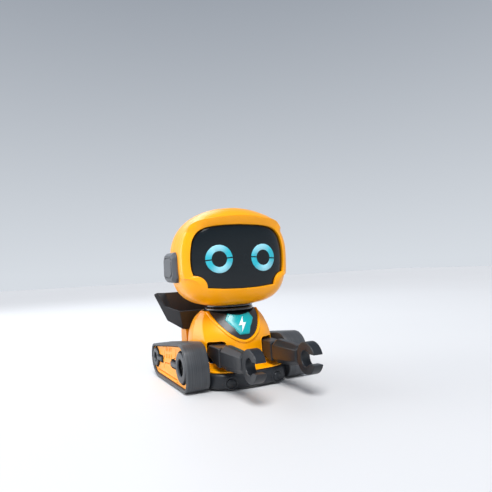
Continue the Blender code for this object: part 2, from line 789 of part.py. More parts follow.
def build_drive():
    """Motors, gear wheels, tyres and the front roller."""
    angle = math.atan2(MOTOR_DZ, MOTOR_DY)
    motor_y = WHEEL_Y + MOTOR_DY
    motor_z = WHEEL_R + MOTOR_DZ
    for label, side in SIDES:
        motor = [(MOTOR_R, 0.8), (MOTOR_R, 12.4), (1.8, 12.4), (1.8, 13.2), (0.7, 13.2), (0.7, 13.9)]
        shape = turned([(r, side * h) for r, h in motor], "X", motor_y, motor_z)
        node("motor_" + label, shape, STEEL)
        origin = (side * 15.6, motor_y, motor_z)
        outline = gear_outline(PINION_TEETH, motor_y, motor_z, angle + math.pi)
        ends = sorted((side * 14.2, side * 17.0))
        node("motor_pinion_" + label, prism(outline, "X", *ends), NATURAL, origin)
        origin = (side * 19.6, WHEEL_Y, WHEEL_R)
        hub = [(AXLE_R, 11.2), (AXLE_R, 14.2), (3.0, 14.2), (3.0, 17.4), (6.3, 17.4), (6.3, 22.0),
               (AXLE_R, 22.0), (AXLE_R, 29.4)]
        shape = turned([(r, side * h) for r, h in hub], "X", WHEEL_Y, WHEEL_R)
        wheel = node("drive_wheel_" + label, shape, NATURAL, origin)
        outline = gear_outline(GEAR_TEETH, WHEEL_Y, WHEEL_R, angle + math.pi / GEAR_TEETH)
        ends = sorted((side * 14.6, side * 16.6))
        carve(wheel, prism(outline, "X", *ends), "teeth", "UNION")
        tyre = [(WHEEL_R - TYRE_THICK, 17.6), (WHEEL_R, 17.6), (WHEEL_R, 21.8),
                (WHEEL_R - TYRE_THICK, 21.8)]
        shape = turned_ring([(r, side * h) for r, h in tyre], "X", WHEEL_Y, WHEEL_R)
        node("drive_tyre_" + label, shape, RUBBER, origin)
    roller = [(AXLE_R, -6.4), (AXLE_R, -4.4), (ROLLER_R - 0.6, -4.4), (ROLLER_R, -3.6),
              (ROLLER_R, 3.6), (ROLLER_R - 0.6, 4.4), (AXLE_R, 4.4), (AXLE_R, 6.4)]
    node("nose_roller", turned(roller, "X", ROLLER_Y, ROLLER_R, 24), RUBBER,
         (0.0, ROLLER_Y, ROLLER_R))


# ---------------------------------------------------------------- tracks

def track_outline():
    """Side outline of a track unit in (y, z)."""
    points = [(-35.8, 0.8), (35.0, 0.8), (42.7, 6.6), (45.8, 13.1), (43.4, 24.0), (3.2, 28.9),
              (-27.4, 32.3), (-35.6, 28.6), (-41.1, 17.5), (-40.6, 5.6)]
    return rounded(points, 4.5)


def inset_outline(points, distance):
    """Moves a convex outline inwards."""
    out = []
    count = len(points)
    for i, (px, py) in enumerate(points):
        ax, ay = points[i - 1]
        bx, by = points[(i + 1) % count]
        la = math.hypot(px - ax, py - ay)
        lb = math.hypot(bx - px, by - py)
        nx = -(py - ay) / la - (by - py) / lb
        ny = (px - ax) / la + (bx - px) / lb
        scale = distance * 2.0 / (nx * nx + ny * ny)
        out.append((px + nx * scale, py + ny * scale))
    return out


def hub_outline(hub, other, bar_width, bar_reach):
    """Round hub with a short bar pointing at the other hub."""
    y, z, radius = hub
    heading = math.degrees(math.atan2(other[1] - z, other[0] - y))
    half = math.degrees(math.asin(bar_width / 2 / radius))
    points = arc(y, z, radius, heading + half, heading + 360.0 - half, 18)
    c = math.cos(math.radians(heading))
    s = math.sin(math.radians(heading))
    for lateral in (-bar_width / 2, bar_width / 2):
        along = radius + bar_reach
        points.append((y + along * c - lateral * s, z + along * s + lateral * c))
    return points


def build_tracks():
    """Bands, side plates and hubs."""
    outline = track_outline()
    pocket = inset_outline(outline, TRACK_WALL)
    panel = inset_outline(outline, TRACK_WALL + GAP)
    for label, side in SIDES:
        ends = sorted((side * TRACK_IN, side * TRACK_OUT))
        band = node("track_band_" + label, prism(outline, "X", *ends), CHARCOAL)
        ends = sorted((side * (TRACK_IN + 2.0), side * (TRACK_OUT + 2.0)))
        carve(band, prism(pocket, "X", *ends), "pocket")
        ends = sorted((side * PLATE_FACE, side * (PLATE_FACE - PLATE_THICK)))
        plate = node("track_plate_" + label, prism(panel, "X", *ends), ORANGE)
        for row in range(2):
            for column in range(6):
                y = -4.0 + 3.2 * column
                z = 24.6 - 0.11 * (y + 4.0) - 5.4 * row
                slot = [(y - 0.6, z - 1.9), (y + 0.6, z - 1.9), (y + 0.6, z + 1.9), (y - 0.6, z + 1.9)]
                reach = sorted((side * (PLATE_FACE - 0.8), side * (PLATE_FACE + 1.0)))
                carve(plate, prism(slot, "X", *reach), "slot_" + str(row) + str(column))
        for name, hub, other, width, reach in (
                ("front", FRONT_HUB, REAR_HUB, 3.8, 12.0),
                ("rear", REAR_HUB, FRONT_HUB, 3.0, 9.5)):
            ends = sorted((side * (PLATE_FACE + GAP), side * HUB_FACE))
            shape = prism(hub_outline(hub, other, width, reach), "X", *ends)
            piece = node("track_hub_" + name + "_" + label, shape, HUB_GREY)
            ends = sorted((side * (HUB_FACE - 0.7), side * (HUB_FACE + 1.0)))
            carve(piece, prism(circle(hub[0], hub[1], hub[2] * 0.5, 20), "X", *ends), "dish")


# ------------------------------------------------------------------ arms

def build_arms():
    """Shoulders, forearms and claws."""
    for label, side in SIDES:
        x = side * ARM_X
        shoulder_at = (x, ARM_PIVOT_Y, ARM_Z)
        shoulder = pivot("shoulder_" + label + "_pivot", shoulder_at)
        outline = arc(ARM_PIVOT_Y, SHOULDER_TOP - SHOULDER_R, SHOULDER_R, 90.0, -90.0, 10)
        outline += [(SEAM_Y + 3.0, ARM_Z - 6.9), (SEAM_Y + GAP, ARM_Z - 6.3),
                    (SEAM_Y + GAP, ARM_Z + 6.4), (SEAM_Y + 3.0, SHOULDER_TOP)]
        block = prism(outline, "X", x - SHOULDER_HALF, x + SHOULDER_HALF)
        node("arm_shoulder_" + label, block, CHARCOAL, shoulder_at, shoulder)
        wrist_at = (x, SEAM_Y, ARM_Z)
        wrist = pivot("wrist_" + label + "_pivot", wrist_at, shoulder)
        rings = []
        for y, w, h, cz in ((SEAM_Y, 5.0, 7.0, ARM_Z), (SEAM_Y - 3.0, 5.5, 8.2, ARM_Z + 0.4),
                            (-66.0, 4.8, 7.2, 22.9), (-74.2, 4.0, 5.4, CLAW_Z)):
            c = 0.42 * w
            corners = [(w, h - c), (w - c, h), (c - w, h), (-w, h - c), (-w, c - h), (c - w, -h),
                       (w - c, -h), (w, c - h)]
            rings.append([(x + a, y, cz + b) for a, b in corners])
        node("forearm_" + label, loft(rings), CHARCOAL, wrist_at, wrist)
        node("claw_" + label, claw(x), CHARCOAL, wrist_at, wrist)


def claw(x):
    """Thick C-shaped ring, open to the front."""
    out_half = math.degrees(math.asin(CLAW_GAP / 2 / CLAW_R))
    in_half = math.degrees(math.asin(CLAW_GAP / 2 / CLAW_BORE))
    outer = arc(CLAW_Y, CLAW_Z, CLAW_R, 180.0 + out_half, 540.0 - out_half, 22)
    inner = arc(CLAW_Y, CLAW_Z, CLAW_BORE, 540.0 - in_half, 180.0 + in_half, 14)
    outline = outer + inner
    flat_y = -74.2 - GAP
    outline = [(min(y, flat_y), z) for y, z in outline]
    rings = []
    for inset, h in ((0.0, -0.5), (0.0, 0.5)):
        rings.append([(x + CLAW_THICK * h, y + inset, z) for y, z in outline])
    return loft(rings)


# ----------------------------------------------------------------- bin

def build_bin():
    """Open hopper on the back and its saddle."""
    half = {"wing": (45.6, 35.0, 63.0), "knee": (38.0, 30.6, 53.0), "front": (29.0, 22.4, 49.0),
            "tail": (35.0, 44.6, 63.0), "low_front": (26.0, 24.6, 35.0),
            "low_side": (36.0, 33.0, 42.0), "low_tail": (26.0, 39.6, 36.5)}
    verts = []
    index = {}
    for label, side in SIDES:
        for key, (x, y, z) in half.items():
            index[key + label] = len(verts)
            verts.append((side * x, y, z))
    faces = []
    for label, _ in SIDES:
        for loop in (("wing", "knee", "low_side"), ("knee", "front", "low_front"),
                     ("knee", "low_front", "low_side"), ("wing", "low_side", "tail"),
                     ("tail", "low_side", "low_tail"), ("low_side", "low_front", "low_tail")):
            faces.append(tuple(index[key + label] for key in loop))
    for a, b in (("front", "low_front"), ("low_front", "low_tail"), ("low_tail", "tail")):
        faces.append((index[a + "right"], index[b + "right"], index[b + "left"], index[a + "left"]))
    hopper = node("rear_bin", (verts, faces), CHARCOAL)
    thicken(hopper, BIN_WALL)
    saddle = node("bin_saddle", prism([(22.2, 12.0), (36.0, 12.0), (36.0, 33.0), (35.0, 35.6),
                                       (25.2, 34.6), (23.4, 33.0)], "X", -24.0, 24.0),
                  ORANGE)
    carve(saddle, box(-22.0, 22.0, 24.2, 34.0, 5.0, 30.0), "hollow")


def main():
    """Builds every piece."""
    clear_scene()
    head = pivot("head_pivot", (0.0, NECK_Y, 53.0))
    build_head(head)
    build_torso()
    build_chassis()
    build_drive()
    build_tracks()
    build_arms()
    build_bin()


main()
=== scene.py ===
import math

import bmesh
import bpy
from mathutils import Matrix, Vector


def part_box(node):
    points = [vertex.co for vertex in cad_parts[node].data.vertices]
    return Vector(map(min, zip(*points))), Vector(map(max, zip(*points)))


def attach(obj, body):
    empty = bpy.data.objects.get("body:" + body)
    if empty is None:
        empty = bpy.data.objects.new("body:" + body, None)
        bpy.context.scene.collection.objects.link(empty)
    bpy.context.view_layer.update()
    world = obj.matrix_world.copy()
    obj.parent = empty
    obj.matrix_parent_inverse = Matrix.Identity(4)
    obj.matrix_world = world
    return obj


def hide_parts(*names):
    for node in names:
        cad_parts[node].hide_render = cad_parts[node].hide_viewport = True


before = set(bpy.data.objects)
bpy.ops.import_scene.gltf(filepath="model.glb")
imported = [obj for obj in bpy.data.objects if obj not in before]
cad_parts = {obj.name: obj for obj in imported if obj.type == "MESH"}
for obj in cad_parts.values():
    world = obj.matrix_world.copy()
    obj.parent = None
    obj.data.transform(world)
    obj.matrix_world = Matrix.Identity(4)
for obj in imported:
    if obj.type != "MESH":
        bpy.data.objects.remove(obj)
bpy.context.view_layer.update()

# Lengths are millimetres. y is counted from the middle of the chassis, as in the
# CAD source; SHIFT_Y moves it to the row frame.
MM = 0.001
GAP = 0.3
NECK_Y = -6.0
POST_LOW, POST_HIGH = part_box("neck_post")
SHIFT_Y = 500.0 * (POST_LOW[1] + POST_HIGH[1]) - NECK_Y
SIDES = (("right", -1), ("left", 1))


# ------------------------------------------------------------ shape tools

def circle(a, b, radius, steps=48):
    turn = 2.0 * math.pi / steps
    angles = [turn * i for i in range(steps)]
    return [(a + radius * math.cos(t), b + radius * math.sin(t)) for t in angles]


def arc(a, b, radius, start, end, steps):
    """Points from the start angle to the end angle, both in degrees."""
    span = math.radians(end - start) / steps
    angles = [math.radians(start) + span * i for i in range(steps + 1)]
    return [(a + radius * math.cos(t), b + radius * math.sin(t)) for t in angles]


def place(axis, a, b, h):
    """Point of an outline (a, b) at height h along an axis."""
    if axis == "X":
        return (h, a, b)
    if axis == "Y":
        return (a, h, b)
    return (a, b, h)


def loft(rings, loop=False):
    """Skin over equal rings: capped at both ends, or joined into a loop."""
    count = len(rings[0])
    verts = [p for ring in rings for p in ring]
    faces = []
    for j in range(len(rings) if loop else len(rings) - 1):
        k = (j + 1) % len(rings)
        for i in range(count):
            n = (i + 1) % count
            faces.append((j * count + i, j * count + n, k * count + n, k * count + i))
    if not loop:
        faces.append(tuple(range(count)))
        faces.append(tuple((len(rings) - 1) * count + i for i in range(count)))
    return verts, faces


def prism(outline, axis, low, high):
    return loft([[place(axis, a, b, h) for a, b in outline] for h in (low, high)])


def side_prism(outline, side, inner, outer):
    """Prism along X on one side, between two distances from the middle plane."""
    return prism(outline, "X", *sorted((side * inner, side * outer)))


def turned(profile, axis, a, b, steps=64, loop=False):
    """Profile of (radius, height) turned about an axis; with loop, a closed section."""
    rings = [[place(axis, p, q, h) for p, q in circle(a, b, r, steps)] for r, h in profile]
    return loft(rings, loop)


def side_turned(profile, side, y, z, steps):
    """Turned about X on one side; heights are distances from the middle plane."""
    return turned([(r, side * h) for r, h in profile], "X", y, z, steps)


def merged(*shapes):
    """Several shapes as one, without joining their surfaces."""
    verts, faces = [], []
    for v, f in shapes:
        base = len(verts)
        verts += list(v)
        faces += [tuple(base + i for i in face) for face in f]
    return verts, faces


def bend(start, corner, end, steps):
    """Quadratic curve from start to end, pulled towards the corner."""
    out = []
    for k in range(steps + 1):
        t = k / steps
        out.append(tuple((1 - t) ** 2 * s + 2 * t * (1 - t) * c + t * t * e
                         for s, c, e in zip(start, corner, end)))
    return out


def rounded(points, radius, steps=5):
    """Outline with its corners rounded, by less where a side is short."""
    out = []
    count = len(points)
    for i, (px, py) in enumerate(points):
        ax, ay = points[i - 1]
        bx, by = points[(i + 1) % count]
        la = math.hypot(ax - px, ay - py)
        lb = math.hypot(bx - px, by - py)
        r = min(radius, 0.45 * la, 0.45 * lb)
        start = (px + (ax - px) * r / la, py + (ay - py) * r / la)
        end = (px + (bx - px) * r / lb, py + (by - py) * r / lb)
        out += bend(start, (px, py), end, steps)
    return out


def inset_outline(points, distance):
    """Anticlockwise outline moved inwards; a negative distance moves it outwards."""
    out = []
    count = len(points)
    for i, (px, py) in enumerate(points):
        ax, ay = points[i - 1]
        bx, by = points[(i + 1) % count]
        la = math.hypot(px - ax, py - ay)
        lb = math.hypot(bx - px, by - py)
        nx = -(py - ay) / la - (by - py) / lb
        ny = (px - ax) / la + (bx - px) / lb
        scale = distance * 2.0 / max(0.4, nx * nx + ny * ny)
        out.append((px + nx * scale, py + ny * scale))
    return out


def outward_normals(points):
    """Unit normal at each point of a closed anticlockwise outline."""
    out = []
    for i in range(len(points)):
        ax, az = points[i - 1]
        bx, bz = points[(i + 1) % len(points)]
        out.append(Vector((bz - az, -(bx - ax))).normalized())
    return out


def closed_line(half):
    """Right half of an outline, closed with its mirror image."""
    return half + [(-x, z) for x, z in reversed(half) if x > 0.001]


def catmull(points, steps):
    """Smooth open curve through points."""
    out = []
    last = len(points) - 1
    for i in range(last):
        p0 = points[max(0, i - 1)]
        p1 = points[i]
        p2 = points[i + 1]
        p3 = points[min(last, i + 2)]
        for k in range(steps):
            t = k / steps
            out.append(tuple(
                0.5 * (2 * b + (c - a) * t + (2 * a - 5 * b + 4 * c - d) * t * t
                       + (3 * b - a - 3 * c + d) * t ** 3)
                for a, b, c, d in zip(p0, p1, p2, p3)))
    out.append(tuple(points[-1]))
    return out


def spaced(points, count):
    """count + 1 points at equal steps along an open line."""
    lengths = [0.0]
    for a, b in zip(points, points[1:]):
        lengths.append(lengths[-1] + math.dist(a, b))
    out = []
    j = 0
    for k in range(count + 1):
        want = lengths[-1] * k / count
        while j < len(points) - 2 and lengths[j + 1] < want:
            j += 1
        span = max(1e-9, lengths[j + 1] - lengths[j])
        t = min(1.0, max(0.0, (want - lengths[j]) / span))
        out.append(tuple(a + t * (b - a) for a, b in zip(points[j], points[j + 1])))
    return out


def smooth_step(t):
    t = min(1.0, max(0.0, t))
    return t * t * (3.0 - 2.0 * t)


def ramp(value, stops):
    """Smooth read of ((at, value), ...)."""
    if value <= stops[0][0]:
        return stops[0][1]
    for (a, va), (b, vb) in zip(stops, stops[1:]):
        if value <= b:
            return va + (vb - va) * smooth_step((value - a) / (b - a))
    return stops[-1][1]


def superarc(u, power):
    """Height of the curve |u|^power + h^power = 1."""
    return max(0.0, 1.0 - abs(u) ** power) ** (1.0 / power)


# --------------------------------------------------------------- pieces

def add_object(name, data, at=(0.0, 0.0, 0.0)):
    obj = bpy.data.objects.new(name, data)
    bpy.context.scene.collection.objects.link(obj)
    obj.location = at
    return obj


def mesh_object(name, shape):
    """Clean mesh in the row frame from a shape in millimetres."""
    verts, faces = shape
    mesh = bpy.data.meshes.new(name)
    mesh.from_pydata([(x * MM, (y + SHIFT_Y) * MM, z * MM) for x, y, z in verts], [], faces)
    bm = bmesh.new()
    bm.from_mesh(mesh)
    bmesh.ops.remove_doubles(bm, verts=bm.verts, dist=1e-7)
    bmesh.ops.recalc_face_normals(bm, faces=bm.faces)
    bm.to_mesh(mesh)
    bm.free()
    return add_object(name, mesh)


def apply_modifiers(obj):
    graph = bpy.context.evaluated_depsgraph_get()
    mesh = bpy.data.meshes.new_from_object(obj.evaluated_get(graph))
    obj.modifiers.clear()
    old = obj.data
    obj.data = mesh
    bpy.data.meshes.remove(old)


def carve(obj, shapes):
    """Cuts the shapes out of the object, exactly, and applies the result."""
    tools = []
    for index, shape in enumerate(shapes):
        tool = mesh_object(obj.name + "_tool" + str(index), shape)
        mod = obj.modifiers.new("cut" + str(index), "BOOLEAN")
        mod.operation = "DIFFERENCE"
        mod.solver = "EXACT"
        mod.object = tool
        tools.append(tool)
    apply_modifiers(obj)
    for tool in tools:
        bpy.data.objects.remove(tool, do_unlink=True)


def finish_piece(obj, mat, body, slot, nodes=(), bevel=0.0, segments=3, angle=30.0, crease=35.0):
    """Bevels, shades, paints and attaches a piece."""
    if bevel:
        mod = obj.modifiers.new("edge", "BEVEL")
        mod.width = bevel * MM
        mod.segments = segments
        mod.limit_method = "ANGLE"
        mod.angle_limit = math.radians(angle)
        mod.use_clamp_overlap = True
        apply_modifiers(obj)
    obj.data.shade_smooth()
    obj.data.set_sharp_from_angle(angle=math.radians(crease))
    if bevel:
        mod = obj.modifiers.new("shading", "WEIGHTED_NORMAL")
        mod.keep_sharp = True
        mod.weight = 60
    obj.data.materials.clear()
    obj.data.materials.append(mat)
    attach(obj, body)
    if nodes:
        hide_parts(*nodes)


def piece(name, shape, mat, body, slot, nodes=(), **finish):
    finish_piece(mesh_object(name, shape), mat, body, slot, nodes, **finish)


# ------------------------------------------------------------- materials

class Graph:
    """Node graph of a material or a world, with short ways to add nodes."""

    def __init__(self, owner):
        owner.use_nodes = True
        self.nodes = owner.node_tree.nodes
        self.links = owner.node_tree.links

    def feed(self, socket, value):
        """Sets a number or a colour on the socket, or links an output to it."""
        if isinstance(value, (int, float)):
            socket.default_value = value
        elif isinstance(value, tuple):
            socket.default_value = (*value, 1.0)
        else:
            self.links.new(value, socket)

    def coords(self, kind="Object"):
        return self.nodes.new("ShaderNodeTexCoord").outputs[kind]

    def noise(self, coords, scale, detail=3.0):
        node = self.nodes.new("ShaderNodeTexNoise")
        for name, value in (("Vector", coords), ("Scale", scale), ("Detail", detail)):
            self.feed(node.inputs[name], value)
        return node.outputs["Fac"]

    def span(self, value, low, high, from_low=0.3, from_high=0.7):
        """Value moved from one range to another, and held inside it."""
        node = self.nodes.new("ShaderNodeMapRange")
        for name, number in (("Value", value), ("From Min", from_low), ("From Max", from_high),
                             ("To Min", low), ("To Max", high)):
            self.feed(node.inputs[name], number)
        return node.outputs["Result"]

    def mix(self, factor, a, b):
        node = self.nodes.new("ShaderNodeMix")
        node.data_type = "RGBA"
        for index, value in ((0, factor), (6, a), (7, b)):
            self.feed(node.inputs[index], value)
        return node.outputs[2]

    def combine(self, operation, *values):
        node = self.nodes.new("ShaderNodeMath")
        node.operation = operation
        for socket, value in zip(node.inputs, values):
            self.feed(socket, value)
        return node.outputs["Value"]


def new_material(name):
    """Material, its graph and the sockets of its shader."""
    mat = bpy.data.materials.new(name)
    graph = Graph(mat)
    return mat, graph, graph.nodes["Principled BSDF"].inputs


FLOW_SCALE = 22.0
CLOUD_SCALE = 60.0
STREAK_SCALE = 60.0
BRUSH_SCALE = 420.0
GRAIN_DEPTH = 0.06 * MM
PLASTIC_IOR = 1.49
COAT_ROUGHNESS = 0.12
RUB_FROM, RUB_TO = 0.52, 0.6
GLOW_TURN = math.radians(104.0)


def plastic(name, color, rough, grain=0.15, grain_scale=1400.0, shade=0.86, coat=0.0,
            streak=None, edge=0.25, speck=0.04, shine=0.5):
    """Moulded plastic: slight flow shading, fine grain, lighter rubbed edges."""
    mat, graph, sockets = new_material(name)
    coords = graph.coords()
    dark = tuple(c * shade for c in color)
    light = tuple(min(1.0, c * 1.25 + 0.04) for c in color)
    flow = graph.noise(coords, FLOW_SCALE, 2.0)
    tone = graph.mix(graph.span(flow, 0.0, 1.0), dark, color)
    pointed = graph.nodes.new("ShaderNodeNewGeometry").outputs["Pointiness"]
    tone = graph.mix(graph.span(pointed, 0.0, edge, RUB_FROM, RUB_TO), tone, light)
    height = graph.noise(coords, grain_scale, 2.0)
    if streak:
        scaled = graph.nodes.new("ShaderNodeMapping")
        scaled.inputs["Scale"].default_value = streak
        graph.feed(scaled.inputs["Vector"], coords)
        lines = graph.noise(scaled.outputs["Vector"], STREAK_SCALE)
        height = graph.combine("ADD", height, lines)
        tone = graph.mix(graph.span(lines, 0.0, 0.8), tone, light)
    bump = graph.nodes.new("ShaderNodeBump")
    for key, value in (("Strength", grain), ("Distance", GRAIN_DEPTH), ("Height", height)):
        graph.feed(bump.inputs[key], value)
    cloudy = graph.noise(coords, CLOUD_SCALE, 4.0)
    for key, value in (("Base Color", tone), ("Normal", bump.outputs["Normal"]),
                       ("Roughness", graph.span(cloudy, rough - speck, rough + speck)),
                       ("IOR", PLASTIC_IOR), ("Specular IOR Level", shine),
                       ("Coat Weight", coat), ("Coat Roughness", COAT_ROUGHNESS)):
        graph.feed(sockets[key], value)
    return mat


def metal(name, color, rough):
    """Brushed plate."""
    mat, graph, sockets = new_material(name)
    brushed = graph.noise(graph.coords(), BRUSH_SCALE, 4.0)
    dark = tuple(c * 0.8 for c in color)
    for key, value in (("Base Color", graph.mix(graph.span(brushed, 0.0, 1.0), dark, color)),
                       ("Roughness", graph.span(brushed, rough, rough + 0.15)),
                       ("Metallic", 1.0)):
        graph.feed(sockets[key], value)
    return mat


def glow(name, light, deep, centre):
    """Backlit light guide: paler and deeper sectors round its own centre."""
    mat, graph, sockets = new_material(name)
    parts = graph.nodes.new("ShaderNodeSeparateXYZ")
    graph.feed(parts.inputs["Vector"], graph.coords())
    across = graph.combine("SUBTRACT", parts.outputs["X"], centre[0])
    up = graph.combine("SUBTRACT", parts.outputs["Z"], centre[1])
    angle = graph.combine("ARCTAN2", up, across)
    twice = graph.combine("MULTIPLY_ADD", angle, 2.0, -2.0 * GLOW_TURN)
    wave = graph.combine("COSINE", twice)
    tone = graph.mix(graph.span(wave, 0.0, 1.0, -0.7, 0.9), deep, light)
    for key, value in (("Base Color", tone), ("Emission Color", tone),
                       ("Emission Strength", 0.15), ("Roughness", 0.35)):
        graph.feed(sockets[key], value)
    return mat


ORANGE = plastic("orange_abs", (1.0, 0.39, 0.0), 0.3, grain=0.04, shade=0.97, coat=0.1,
                 edge=0.0, speck=0.02, shine=0.35)
ORANGE_DEEP = plastic("orange_abs_satin", (1.0, 0.36, 0.004), 0.36, grain=0.1, shade=0.88,
                      coat=0.05, edge=0.1, speck=0.02, shine=0.35)
CHARCOAL = plastic("charcoal_abs", (0.014, 0.0165, 0.021), 0.4, grain=0.22, coat=0.05, shine=0.4)
CHARCOAL_SOFT = plastic("charcoal_satin", (0.018, 0.019, 0.023), 0.36, grain=0.15, coat=0.1,
                        shine=0.4)
EAR_GREY = plastic("ear_grey", (0.075, 0.082, 0.095), 0.4, grain=0.3, grain_scale=900.0)
TRACK_DARK = plastic("track_rubbery", (0.03, 0.034, 0.04), 0.44, grain=0.3,
                     streak=(14.0, 0.2, 0.2))
HUB_GREY = plastic("hub_grey", (0.045, 0.052, 0.062), 0.4, grain=0.15, shine=0.4)
# Dull black of the hub cores and the speaker, also used as painted shadow round the hubs.
HUB_BLACK_AND_SHADE = plastic("hub_black_and_painted_shade", (0.003, 0.0035, 0.0045), 0.6, grain=0.15, shine=0.05)
PIANO = plastic("piano_black", (0.0035, 0.0075, 0.0105), 0.14, grain=0.0, coat=0.15,
                speck=0.015, shine=0.3)
NECK_BLACK = plastic("neck_black", (0.006, 0.0065, 0.008), 0.22, grain=0.05, coat=0.5)
TEAL = plastic("badge_teal", (0.0, 0.42, 0.46), 0.28, grain=0.05, shade=0.8, coat=0.3)
WHITE = plastic("icon_white", (0.9, 0.92, 0.92), 0.35, grain=0.05)
RUBBER = plastic("tyre_rubber", (0.018, 0.018, 0.019), 0.72, grain=0.5)
ACETAL = plastic("acetal", (0.66, 0.64, 0.56), 0.4, grain=0.1)
RED = plastic("button_red", (0.55, 0.03, 0.012), 0.38, grain=0.1)
LENS = plastic("sensor_lens", (0.12, 0.006, 0.008), 0.12, grain=0.0, coat=0.6)
BOARD = plastic("board_green", (0.02, 0.16, 0.05), 0.45, grain=0.3, grain_scale=500.0)
JACKET = plastic("cell_jacket", (0.02, 0.08, 0.3), 0.3, grain=0.05)
STEEL = metal("plated_steel", (0.56, 0.56, 0.58), 0.3)


# ------------------------------------------------------------------ head

HEAD_Y = -8.0
HEAD_Z = 89.5
HEAD_H = 35.5
HEAD_W = 41.5
HEAD_FRONT = 28.0
HEAD_REAR = 31.0
HEAD_WALL = 1.6
FACE_CENTRE = 88.0
FACE_ROUND = 0.1
NOTCH_X, NOTCH_Z, NOTCH_R = 34.4, 67.9, 8.5
REAR_RING = 128
DOME_RINGS = 26
DOME_TIP = 0.012
NECK_HOLE = 10.2
SCREEN_BACK = 1.75
SCREEN_THICK = 1.4
SCREEN_RIM = 0.9
EYE_X = 16.9
EYE_Z = 87.5
EYE_TILT = math.radians(4.5)
EYE_SPLIT = 0.45
EYE_STEPS = 40
EAR_Y = -3.9
EAR_OUT = 45.2
EAR_Z = 83.0

# The frame climbs away from the face window, and the visor falls from its crest. Each stop
# is (degrees round from the top of the face, millimetres).
FRAME_REACH = ((0.0, 5.0), (44.0, 4.7), (66.0, 4.0), (118.0, 4.0), (180.0, 4.5))
FRAME_RISE = ((0.0, 5.0), (44.0, 4.7), (57.0, 3.5), (63.0, 1.5), (106.0, 1.3), (134.0, 0.0))
VISOR_REACH = ((0.0, 11.6), (40.0, 9.6), (66.0, 5.2), (110.0, 5.4), (180.0, 8.0))
VISOR_RISE = ((0.0, 1.0), (40.0, 1.2), (57.0, 0.9), (63.0, 0.7), (106.0, 0.6), (134.0, 0.0))
FRAME, VISOR, FLANK = range(3)


def head_size(z):
    """Half width, front depth and rear depth of the helmet at a height."""
    h = max(-1.0, min(1.0, (z - HEAD_Z) / HEAD_H))
    powers = (2.2, 3.2, 2.3) if h > 0 else (3.2, 4.0, 2.6)
    return tuple(size * superarc(h, power)
                 for size, power in zip((HEAD_W, HEAD_FRONT, HEAD_REAR), powers))


def head_front_y(x, z):
    width, front, _ = head_size(z)
    u = min(1.0, abs(x) / width) if width > 1e-6 else 1.0
    return HEAD_Y - front * superarc(u, 4.0) * (1.0 - FACE_ROUND * u * u)


def head_rear_y(x, z):
    width, _, rear = head_size(z)
    u = min(1.0, abs(x) / width) if width > 1e-6 else 1.0
    return HEAD_Y + rear * superarc(u, 2.7)


def face_normal(x, z):
    """Unit normal of the helmet's front, facing out."""
    e = 0.15
    dx = (head_front_y(x + e, z) - head_front_y(x - e, z)) / (2 * e)
    dz = (head_front_y(x, z + e) - head_front_y(x, z - e)) / (2 * e)
    return Vector((dx, -1.0, dz)).normalized()


def face_outline():
    """Face window, counted anticlockwise from the middle of its lower edge."""
    half = spaced([(0.0, 66.0), (13.0, 66.35), (25.6, 67.5)], 16)
    half += spaced(arc(NOTCH_X, NOTCH_Z, NOTCH_R, 180.0, 90.0, 12), 14)
    side = catmull([(34.8, 76.5), (36.0, 81.0), (36.4, 87.0), (36.0, 94.0), (34.4, 101.4),
                    (30.6, 106.9), (24.4, 110.0), (14.0, 111.4), (0.0, 111.9)], 8)
    half += spaced(side, 48)
    return closed_line(half)


def seam_point(angle):
    """Point of the helmet's widest outline, seen from its face centre at an angle."""
    c, s = math.cos(angle), math.sin(angle)
    low, high = 5.0, 60.0
    for _ in range(40):
        mid = 0.5 * (low + high)
        z = FACE_CENTRE + mid * s
        inside = abs(z - HEAD_Z) < HEAD_H and abs(mid * c) < head_size(z)[0]
        low, high = (mid, high) if inside else (low, mid)
    return low * c, FACE_CENTRE + low * s


def front_point(inner, outer, part, t):
    """Point a share t along one part of the way from the face window to the seam."""
    (ix, iz), (ox, oz) = inner, outer
    from_top = abs(math.degrees(math.atan2(ix, iz - FACE_CENTRE)))
    length = math.hypot(ox - ix, oz - iz)
    crest = min(0.66, ramp(from_top, FRAME_REACH) / length)
    brow = max(crest + 0.1, min(0.9, ramp(from_top, VISOR_REACH) / length))
    crest_lift, brow_lift = ramp(from_top, FRAME_RISE), ramp(from_top, VISOR_RISE)
    if part == FRAME:
        share, lift = crest * t, crest_lift * t
    elif part == VISOR:
        share, lift = crest + (brow - crest) * t, crest_lift + (brow_lift - crest_lift) * t
    else:
        share, lift = brow + (1.0 - brow) * t, brow_lift * (1.0 - smooth_step(t * 1.5))
    if share > 0.9995:
        return ox, HEAD_Y, oz
    x = ix + (ox - ix) * share
    z = iz + (oz - iz) * share
    y = head_front_y(x, z)
    if lift > 1e-4:
        n = face_normal(x, z)
        n.z *= 0.25
        n.normalize()
        x, y, z = x + n.x * lift, y + n.y * lift, z + n.z * lift
    return x, y, z


def wall_point(inner, outer, n, t):
    """Point of the front shell's inside, from the seam at 0 to the face window at 1."""
    (ix, iz), (ox, oz) = inner, outer
    k = 1.0 - HEAD_WALL / 41.0 * (1.0 - t)
    x = (ox + (ix + n.x * 1.2 - ox) * t) * k
    z = FACE_CENTRE + (oz + (iz + n.y * 1.2 - oz) * t - FACE_CENTRE) * k
    if t == 0.0:
        return x, HEAD_Y, z
    behind = max(head_front_y(x, z) + HEAD_WALL, head_front_y(ix, iz) + HEAD_WALL)
    return x, min(HEAD_Y, behind), z


